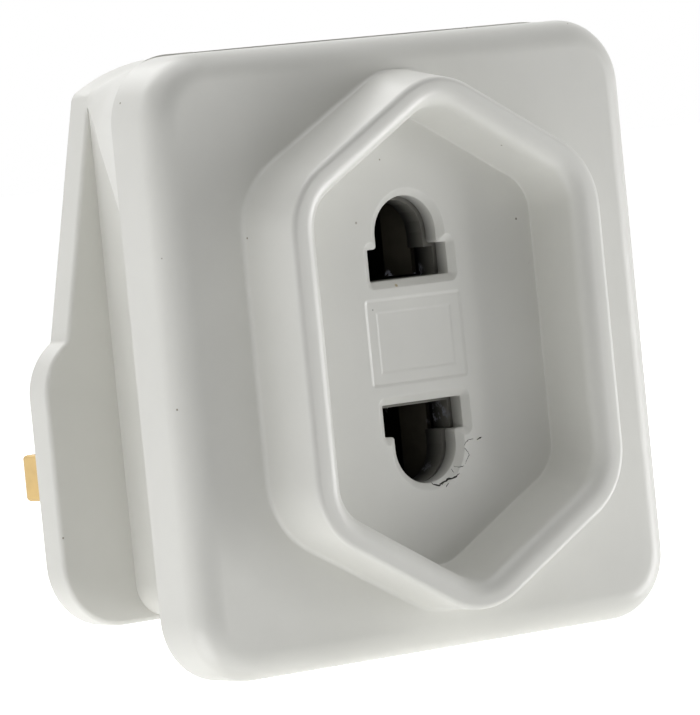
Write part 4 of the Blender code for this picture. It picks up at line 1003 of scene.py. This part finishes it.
class ADAPTER_OT_wall_pins(bpy.types.Operator):
    """Make the live and neutral pins with softened edges and coined tips, and their sleeves"""

    bl_idname = "adapter.wall_pins"
    bl_label = "Wall pins and sleeves"

    def execute(self, context):
        make_finishes(context.scene.adapter_colours)
        for side, place in ((1, "live"), (-1, "neutral")):
            self.pin(side, place)
            self.sleeve(side, place)
        return {"FINISHED"}

    def pin(self, side, place):
        """A blade: shoulder plate, thin core under the sleeve, then the full section to a coined tip."""
        centre, start = (side * PIN_X, 0.0), PIN_LENGTH - PIN_TIP
        corners = rectangle(PIN_HALF[0], -PIN_HALF[1], PIN_HALF[1])
        core = rounded_outline(rectangle(PIN_CORE[0], -PIN_CORE[1], PIN_CORE[1]), CORE_CORNER, 0.0, 6)
        t = np.linspace(0, math.pi / 2, 6)
        pull = np.concatenate([[0.0, 0.0], PIN_TIP * (0.9 * (1 - np.cos(t)) + 0.1 * t / t[-1])])
        outlines = [core, core, rounded_outline(corners, PIN_CORNER, -PLAY, 6)]
        outlines += [rounded_outline(corners, PIN_CORNER + value * 0.2, -value, 6) for value in pull]
        levels = [PIN_ROOT_Y, SLEEVE_LENGTH, SLEEVE_LENGTH, SLEEVE_LENGTH + PLAY, start]
        levels += list(start + PIN_TIP * np.sin(t))
        blade = skin(place + "_pin_blade", rings(outlines, levels, centre))
        wide, high = PIN_PLATE_HALF
        shoulder = box_piece("shoulder", (centre[0] - wide, PIN_PLATE_FRONT_Y, -high),
                             (centre[0] + wide, PIN_PLATE_BACK_Y, high), 0.4 * MM, 0.15 * MM)
        stud = turned("stud", [(STUD_FRONT_Y, STUD_RADIUS), (STUD_BACK_Y, STUD_RADIUS)], "Y", centre, 32)
        carve(blade, [shoulder, stud, turned("stud_head", STUD_HEAD, "Y", centre, 32)], "UNION")
        paint_all(blade, [finish_named("pin_brass")])
        finish_piece(blade, place + "_pin")

    def sleeve(self, side, place):
        """A closed tube: the profile of its wall carried round the pin."""
        outer = rectangle(PIN_HALF[0], -PIN_HALF[1], PIN_HALF[1])
        inner = rectangle(PIN_CORE[0], -PIN_CORE[1], PIN_CORE[1])
        end = SLEEVE_LENGTH - SLEEVE_ROUND
        t = np.linspace(0, math.pi / 2, 4)
        outlines = [rounded_outline(outer, PIN_CORNER, 0.0, 6)]
        outlines += [rounded_outline(outer, PIN_CORNER, g, 6) for g in -SLEEVE_ROUND * (1 - np.cos(t))]
        outlines += [rounded_outline(inner, CORE_CORNER, 0.15 * MM, 6)] * 2
        depth = [SHELL_FLOOR_Y] + list(end - SLEEVE_ROUND * (1 - np.sin(t))) + [end, SHELL_FLOOR_Y]
        tube = skin(place + "_pin_tube", rings(outlines, depth, (side * PIN_X, 0.0)), loop=True)
        paint_all(tube, [finish_named("sleeve_moulding")])
        finish_piece(tube, place + "_pin_sleeve")


class ADAPTER_OT_fuse(bpy.types.Operator):
    """Make the fuse carrier with its trough and pry notch, and the fuse's tube and caps"""

    bl_idname = "adapter.fuse"
    bl_label = "Fuse and carrier"

    def execute(self, context):
        make_finishes(context.scene.adapter_colours)
        self.carrier()
        self.tube()
        self.cap(1, "live")
        self.cap(-1, "load")
        return {"FINISHED"}

    def carrier(self):
        """The carrier: a softened plate with a cradle in front, hollowed to the fuse, notched at one end."""
        wide, high = CARRIER_HALF
        low, top, end = SLOT_CENTRE_Z - high, SLOT_CENTRE_Z + high, wide + 1 * MM
        carrier = box_piece("fuse_carrier_moulding", (-wide, CARRIER_FRONT_Y, low),
                            (wide, CARRIER_BACK_Y, top), 0.45 * MM, 0.2 * MM)
        cradle = box_piece("cradle", (-CRADLE_HALF_WIDTH, CRADLE_FRONT_Y, low),
                           (CRADLE_HALF_WIDTH, CRADLE_BACK_Y, top), 0.2 * MM, 0.1 * MM)
        carve(carrier, [cradle], "UNION")
        trough = turned("trough", [(-end, TROUGH_RADIUS), (end, TROUGH_RADIUS)], "X",
                        (FUSE_Y, SLOT_CENTRE_Z), 64)
        notch = box_piece("pry_notch", (NOTCH_X, -1.55 * MM, SLOT_CENTRE_Z - NOTCH_HALF_HEIGHT),
                          (end, 1 * MM, SLOT_CENTRE_Z + NOTCH_HALF_HEIGHT), 0.25 * MM)
        carve(carrier, [trough, notch])
        paint_all(carrier, [finish_named("white_base_moulding")])
        finish_piece(carrier, "fuse_carrier")

    def tube(self):
        """The ceramic tube: a turned profile with its ends eased."""
        profile = np.array([(-7.5, 2.1), (-7.35, 2.3), (7.35, 2.3), (7.5, 2.1)]) * MM
        tube = turned("fuse_ceramic_tube", profile, "X", (FUSE_Y, SLOT_CENTRE_Z), 64)
        paint_all(tube, [finish_named("fuse_ceramic")])
        finish_piece(tube, "fuse_tube")

    def cap(self, side, place):
        """A drawn cap: open mouth with a rolled lip, straight wall, round shoulder and a dimpled end."""
        t = np.linspace(0, math.pi / 2, 5)
        along = [7.65, 4.95, 4.9, 4.95] + list(8.1 - 0.4 * (1 - np.sin(t))) + [8.1, 8.0]
        radius = [2.45, 2.45, 2.52, 2.6] + list(2.6 - 0.4 * (1 - np.cos(t))) + [1.2, 1.0]
        profile = np.stack([np.array(along) * side, np.array(radius)], axis=1) * MM
        cap = turned("fuse_cap_" + place + "_drawn", profile, "X", (FUSE_Y, SLOT_CENTRE_Z), 64)
        paint_all(cap, [finish_named("plated_steel")])
        finish_piece(cap, "fuse_cap_" + place)


class ADAPTER_OT_works(bpy.types.Operator):
    """Finish the contact strips, clips, contacts, rivets and the dark holder that show through the slots"""

    bl_idname = "adapter.works"
    bl_label = "Contacts and holder"

    def execute(self, context):
        make_finishes(context.scene.adapter_colours)
        for node in ("fuse_clip_live", "fuse_clip_load", "neutral_bar", "upper_rivet", "lower_rivet"):
            repaint(node, "strip_brass")
        # The contacts take the near-black finish of painted shade.
        for node in ("upper_contact", "lower_contact"):
            repaint(node, "bronze_in_painted_shade")
        repaint("contact_holder", "black_moulding")
        return {"FINISHED"}


class ADAPTER_OT_case_screws(bpy.types.Operator):
    """Make the two case screws with threads and cross recesses"""

    bl_idname = "adapter.case_screws"
    bl_label = "Case screws"

    def execute(self, context):
        make_finishes(context.scene.adapter_colours)
        for centre, place in zip(SCREW_PLACES, ("left", "right")):
            screw = self.thread(centre, place)
            carve(screw, [self.head(centre)], "UNION")
            carve(screw, self.cross(centre))
            paint_all(screw, [finish_named("plated_steel")])
            finish_piece(screw, "case_screw_" + place)
        return {"FINISHED"}

    def thread(self, centre, place):
        """The radius at angle a and depth y is the root plus the height of a ridge that climbs one pitch a
        turn, times a taper at the point. Under the head the shank is plain."""
        start, end, sides = -13.2 * MM, -1.0 * MM, 40
        y = np.linspace(start, end, 170)
        angle = np.linspace(0, 2 * math.pi, sides, endpoint=False)
        phase = (y[:, None] / PITCH - angle / (2 * math.pi)) % 1.0
        ridge = np.clip(1 - np.abs(phase - 0.5) * 3.2, 0, 1)
        taper = np.clip((y - start) / (1.6 * MM), 0.25, 1.0)[:, None]
        threaded = (1 - np.clip((y + 2.2 * MM) / (0.5 * MM), 0, 1))[:, None]
        radius = (THREAD_ROOT + THREAD_HEIGHT * ridge * threaded) * taper
        grid = np.empty((len(y), sides, 3))
        grid[..., 0] = radius * np.cos(angle) + centre[0]
        grid[..., 1] = y[:, None]
        grid[..., 2] = radius * np.sin(angle) + centre[1]
        return skin("case_screw_" + place + "_threaded", grid)

    def head(self, centre):
        """A turned profile: flat below, with a rounded rim above."""
        t = np.linspace(0, math.pi / 2, 5)
        rim = np.stack([-0.3 - 0.22 * (1 - np.sin(t)), 2.1 - 0.22 * (1 - np.cos(t))], axis=1)
        profile = np.concatenate([[(-1.15, 1.9), (-1.08, 2.1)], rim]) * MM
        return turned("head", profile, "Y", centre)

    def cross(self, centre):
        """Two cutters across each other, each a slot that narrows towards its floor."""
        cutters = []
        for wide, high in ((1.3 * MM, 0.28 * MM), (0.28 * MM, 1.3 * MM)):
            corners = rectangle(wide, -high, high)
            outlines = [rounded_outline(corners, 0.05 * MM, g, 4) for g in (-0.14 * MM, 0.0, 0.06 * MM)]
            cutters.append(skin("drive", rings(outlines, [-0.85 * MM, -0.36 * MM, 0.2 * MM], centre)))
        return cutters


# Stage: floor, backdrop colour, lamps and the camera of the photograph, whose long side is given in
# pixels, like the distance from the lens to the picture.

CAMERA_PLACE = (-0.27876, -0.39362, 0.02956)
CAMERA_RIGHT = Vector((0.80103, -0.59063, -0.09755))
CAMERA_UP = Vector((0.10529, -0.02142, 0.99422))
LENS_PIXELS = 5724.5
PHOTO_PIXELS = 715.0
SENSOR_WIDTH = 36.0


def aim(item, place, target):
    """Put a lamp at a place and turn it to a target."""
    ahead = (Vector(target) - Vector(place)).normalized()
    turn = ahead.to_track_quat("-Z", "Y").to_matrix().to_4x4()
    item.matrix_world = Matrix.Translation(place) @ turn


def camera_ray_mix(tree, seen, unseen):
    """Shader that is one thing to the camera, mirrors and glass, and another to the light."""
    path = tree.nodes.new("ShaderNodeLightPath")
    total = path.outputs["Is Camera Ray"]
    for name in ("Is Glossy Ray", "Is Transmission Ray"):
        total = add_math(tree, "MAXIMUM", total, path.outputs[name])
    mix = tree.nodes.new("ShaderNodeMixShader")
    tree.links.new(total, mix.inputs["Fac"])
    tree.links.new(unseen, mix.inputs[1])
    tree.links.new(seen, mix.inputs[2])
    return mix.outputs["Shader"]


class ADAPTER_OT_stage(bpy.types.Operator):
    """Make the pale floor, the soft studio lamps, the white surround and the camera"""

    bl_idname = "adapter.stage"
    bl_label = "Stage and camera"

    def execute(self, context):
        light = context.scene.adapter_light
        self.world(context.scene, light)
        self.floor(light)
        self.lamps(light)
        self.camera(context.scene)
        context.scene.view_settings.view_transform = "Standard"
        return {"FINISHED"}

    def world(self, scene, light):
        """White to the camera, and the plain fill colour to everything else."""
        world = bpy.data.worlds.new("studio_surround")
        world.use_nodes = True
        scene.world = world
        tree = world.node_tree
        fill = tree.nodes["Background"]
        fill.inputs["Color"].default_value = (1.0, 1.0, 1.0, 1.0)
        fill.inputs["Strength"].default_value = light.fill
        white = tree.nodes.new("ShaderNodeBackground")
        white.inputs["Color"].default_value = (1.0, 1.0, 1.0, 1.0)
        white.inputs["Strength"].default_value = 1.0
        surface = camera_ray_mix(tree, white.outputs["Background"], fill.outputs["Background"])
        tree.links.new(surface, tree.nodes["World Output"].inputs["Surface"])

    def floor(self, light):
        """Pale floor just under the cover's lower edge. To the camera it glows a little, and fully far away,
        so that it is white where no shadow falls. Lamps below it shine through, as on a light table."""
        size, height = 3.0, CAD_BOX[0][2] - 0.05 * MM
        corners = [(-size, -size, height), (size, -size, height), (size, size, height),
                   (-size, size, height)]
        mesh = bpy.data.meshes.new("floor")
        mesh.from_pydata(corners, [], [(0, 1, 2, 3)])
        floor = bpy.data.objects.new("floor", mesh)
        bpy.context.scene.collection.objects.link(floor)
        material = bpy.data.materials.new("pale_floor")
        material.use_nodes = True
        tree = material.node_tree
        shader = tree.nodes["Principled BSDF"]
        shader.inputs["Base Color"].default_value = (0.82, 0.82, 0.82, 1.0)
        shader.inputs["Roughness"].default_value = 0.9
        shader.inputs["Specular IOR Level"].default_value = 0.1
        glow = tree.nodes.new("ShaderNodeEmission")
        glow.inputs["Color"].default_value = (1.0, 1.0, 1.0, 1.0)
        where = tree.nodes.new("ShaderNodeTexCoord").outputs["Object"]
        away = add_vector_math(tree, "LENGTH", where)["Value"]
        rise = add_range(tree, away, 0.05, 0.30, light.floor_glow, 1.0, "SMOOTHSTEP")
        tree.links.new(rise, glow.inputs["Strength"])
        lit = tree.nodes.new("ShaderNodeAddShader")
        tree.links.new(shader.outputs["BSDF"], lit.inputs[0])
        tree.links.new(glow.outputs["Emission"], lit.inputs[1])
        surface = camera_ray_mix(tree, lit.outputs["Shader"], shader.outputs["BSDF"])
        tree.links.new(surface, tree.nodes["Material Output"].inputs["Surface"])
        mesh.materials.append(material)
        floor.visible_shadow = False

    def lamps(self, light):
        """Large soft lamps round the object: place, size and strength of each. Those under the floor reach
        it by shadow rays alone, so none of their light is left to rays that the floor would stop."""
        middle = (0.0, -0.012, SLOT_CENTRE_Z)
        rig = (("top", (0.0, -0.08, 0.50), 0.45, light.top),
               ("top_back", (-0.05, 0.28, 0.45), 0.40, light.top_back),
               ("left_back", (-0.38, 0.28, 0.12), 0.40, light.left_back),
               ("left", (-0.50, 0.02, 0.10), 0.40, light.left),
               ("right_low", (0.36, -0.28, 0.03), 0.09, light.right),
               ("under_left", (-0.35, -0.02, -0.30), 0.35, light.under_left),
               ("under_front", (0.02, -0.20, -0.42), 0.35, light.under_front),
               ("under_right", (0.42, -0.20, -0.12), 0.25, light.under_right))
        for name, place, size, power in rig:
            lamp = bpy.data.lights.new(name, "AREA")
            lamp.shape = "SQUARE"
            lamp.size = size
            lamp.energy = power
            lamp.cycles.use_multiple_importance_sampling = place[2] > 0
            item = bpy.data.objects.new(name, lamp)
            bpy.context.scene.collection.objects.link(item)
            aim(item, place, middle)

    def camera(self, scene):
        """The photograph's camera: a long lens from the left, a little above, rolled so tops lean left."""
        data = bpy.data.cameras.new("photo_camera")
        camera = bpy.data.objects.new("photo_camera", data)
        scene.collection.objects.link(camera)
        back = CAMERA_RIGHT.cross(CAMERA_UP).normalized()
        up = back.cross(CAMERA_RIGHT).normalized()
        turn = Matrix((CAMERA_RIGHT, up, back)).transposed().to_4x4()
        data.sensor_width = SENSOR_WIDTH
        data.lens = LENS_PIXELS * SENSOR_WIDTH / PHOTO_PIXELS
        data.clip_start = 0.01
        data.clip_end = 20.0
        camera.matrix_world = Matrix.Translation(CAMERA_PLACE) @ turn
        scene.camera = camera


# Settings, panel and registration.


class AdapterSizes(bpy.types.PropertyGroup):
    """Roundings and reliefs of the moulded pieces"""

    cover_corner: FloatProperty(name="Cover corner",
                                description="Radius of the cover's corners seen from the front",
                                default=5.5 * MM, min=1 * MM, max=9 * MM, precision=5, unit="LENGTH")
    front_round: FloatProperty(name="Front round",
                               description="Radius of the soft edge round the cover's face",
                               default=2.35 * MM, min=0.3 * MM, max=4 * MM, precision=5, unit="LENGTH")
    foot_round: FloatProperty(name="Collar foot round",
                              description="Radius where the collar rises from the face",
                              default=0.35 * MM, min=0.1 * MM, max=2 * MM, precision=5, unit="LENGTH")
    rim_round: FloatProperty(name="Collar rim round", description="Radius of the collar's outer rim",
                             default=0.45 * MM, min=0.1 * MM, max=1.5 * MM, precision=5, unit="LENGTH")
    recess_lip: FloatProperty(name="Recess lip round", description="Radius of the collar's inner rim",
                              default=1.3 * MM, min=0.1 * MM, max=1.8 * MM, precision=5, unit="LENGTH")
    slot_bevel: FloatProperty(name="Slot bevel width",
                              description="How far the bevel spreads round a slot", default=0.63 * MM,
                              min=0.1 * MM, max=0.8 * MM, precision=5, unit="LENGTH")
    slot_bevel_depth: FloatProperty(name="Slot bevel depth", description="How deep the bevel goes",
                                    default=0.43 * MM, min=0.1 * MM, max=1 * MM, precision=5,
                                    unit="LENGTH")
    panel_depth: FloatProperty(name="Panel depth",
                               description="Depth of the stepped panel's outer step in the floor",
                               default=0.075 * MM, min=0.02 * MM, max=0.5 * MM, precision=5,
                               unit="LENGTH")
    flange_round: FloatProperty(name="Base edge round", description="Radius of the base flange's edges",
                                default=0.4 * MM, min=0.05 * MM, max=1 * MM, precision=5, unit="LENGTH")


class AdapterColours(bpy.types.PropertyGroup):
    """Colours and gloss of the finishes"""

    cover: FloatVectorProperty(name="Cover", description="Colour of the front cover's plastic",
                               subtype="COLOR", default=(0.742, 0.740, 0.702), min=0.0, max=1.0)
    base: FloatVectorProperty(name="Base", description="Colour of the rear shell's plastic",
                              subtype="COLOR", default=(0.742, 0.739, 0.700), min=0.0, max=1.0)
    holder: FloatVectorProperty(name="Contact holder",
                                description="Colour of the dark moulding in the slots", subtype="COLOR",
                                default=(0.012, 0.012, 0.011), min=0.0, max=1.0)
    sleeve: FloatVectorProperty(name="Pin sleeves", description="Colour of the pins' sleeves",
                                subtype="COLOR", default=(0.028, 0.028, 0.03), min=0.0, max=1.0)
    brass: FloatVectorProperty(name="Brass", description="Colour of the pins and contact strips",
                               subtype="COLOR", default=(0.52, 0.37, 0.16), min=0.0, max=1.0)
    steel: FloatVectorProperty(name="Plated steel", description="Colour of the screws and fuse caps",
                               subtype="COLOR", default=(0.62, 0.63, 0.65), min=0.0, max=1.0)
    gloss: FloatProperty(name="Roughness", description="Roughness of the white plastic", default=0.34,
                         min=0.1, max=0.9, subtype="FACTOR")


class AdapterLight(bpy.types.PropertyGroup):
    """Strengths of the studio's lamps"""

    fill: FloatProperty(name="Fill", description="Light from all round", default=0.015, min=0.0, max=3.0)
    top: FloatProperty(name="Top lamp", description="Power of the lamp overhead", default=1.25, min=0.0,
                       max=50.0, unit="POWER")
    top_back: FloatProperty(name="Back lamp", description="Power of the high lamp behind", default=1.4,
                            min=0.0, max=50.0, unit="POWER")
    left_back: FloatProperty(name="Left back lamp", description="Power of the lamp on the left, behind",
                             default=0.35, min=0.0, max=50.0, unit="POWER")
    left: FloatProperty(name="Left lamp", description="Power of the lamp straight to the left",
                        default=0.3, min=0.0, max=50.0, unit="POWER")
    right: FloatProperty(name="Right lamp", description="Power of the small lamp on the right",
                         default=0.125, min=0.0, max=50.0, unit="POWER")
    under_left: FloatProperty(name="Table left", description="Power of the lamp under the floor, left",
                              default=0.84, min=0.0, max=50.0, unit="POWER")
    under_front: FloatProperty(name="Table front",
                               description="Power of the lamp under the floor, in front", default=0.4,
                               min=0.0, max=50.0, unit="POWER")
    under_right: FloatProperty(name="Table right", description="Power of the lamp under the floor, right",
                               default=1.16, min=0.0, max=50.0, unit="POWER")
    floor_glow: FloatProperty(name="Floor glow",
                              description="What the floor adds to look white to the camera", default=0.75,
                              min=0.0, max=2.0)


PIECE_OPERATORS = (ADAPTER_OT_front_cover, ADAPTER_OT_rear_shell, ADAPTER_OT_wall_pins, ADAPTER_OT_fuse,
                   ADAPTER_OT_works, ADAPTER_OT_case_screws, ADAPTER_OT_stage)


class ADAPTER_PT_sidebar(bpy.types.Panel):
    """Sidebar page with the sizes, colours, lamps and one button a piece"""

    bl_idname = "ADAPTER_PT_sidebar"
    bl_label = "Shaver plug adapter"
    bl_space_type = "VIEW_3D"
    bl_region_type = "UI"
    bl_category = "Adapter"

    def draw(self, context):
        scene = context.scene
        for title, settings in (("Sizes", scene.adapter_sizes), ("Colours", scene.adapter_colours),
                                ("Lamps", scene.adapter_light)):
            box = self.layout.box()
            box.label(text=title)
            for name in settings.__annotations__:
                box.prop(settings, name)
        for operator in PIECE_OPERATORS:
            self.layout.operator(operator.bl_idname)


CLASSES = (AdapterSizes, AdapterColours, AdapterLight) + PIECE_OPERATORS + (ADAPTER_PT_sidebar,)


def register():
    """Register the classes and their settings."""
    for item in CLASSES:
        bpy.utils.register_class(item)
    bpy.types.Scene.adapter_sizes = PointerProperty(type=AdapterSizes)
    bpy.types.Scene.adapter_colours = PointerProperty(type=AdapterColours)
    bpy.types.Scene.adapter_light = PointerProperty(type=AdapterLight)


def unregister():
    """Remove the settings and the classes."""
    del bpy.types.Scene.adapter_light
    del bpy.types.Scene.adapter_colours
    del bpy.types.Scene.adapter_sizes
    for item in reversed(CLASSES):
        bpy.utils.unregister_class(item)


def main():
    """Make every piece and the stage."""
    register()
    bpy.ops.adapter.front_cover()
    bpy.ops.adapter.rear_shell()
    bpy.ops.adapter.wall_pins()
    bpy.ops.adapter.fuse()
    bpy.ops.adapter.works()
    bpy.ops.adapter.case_screws()
    bpy.ops.adapter.stage()


if __name__ == "__main__":
    main()
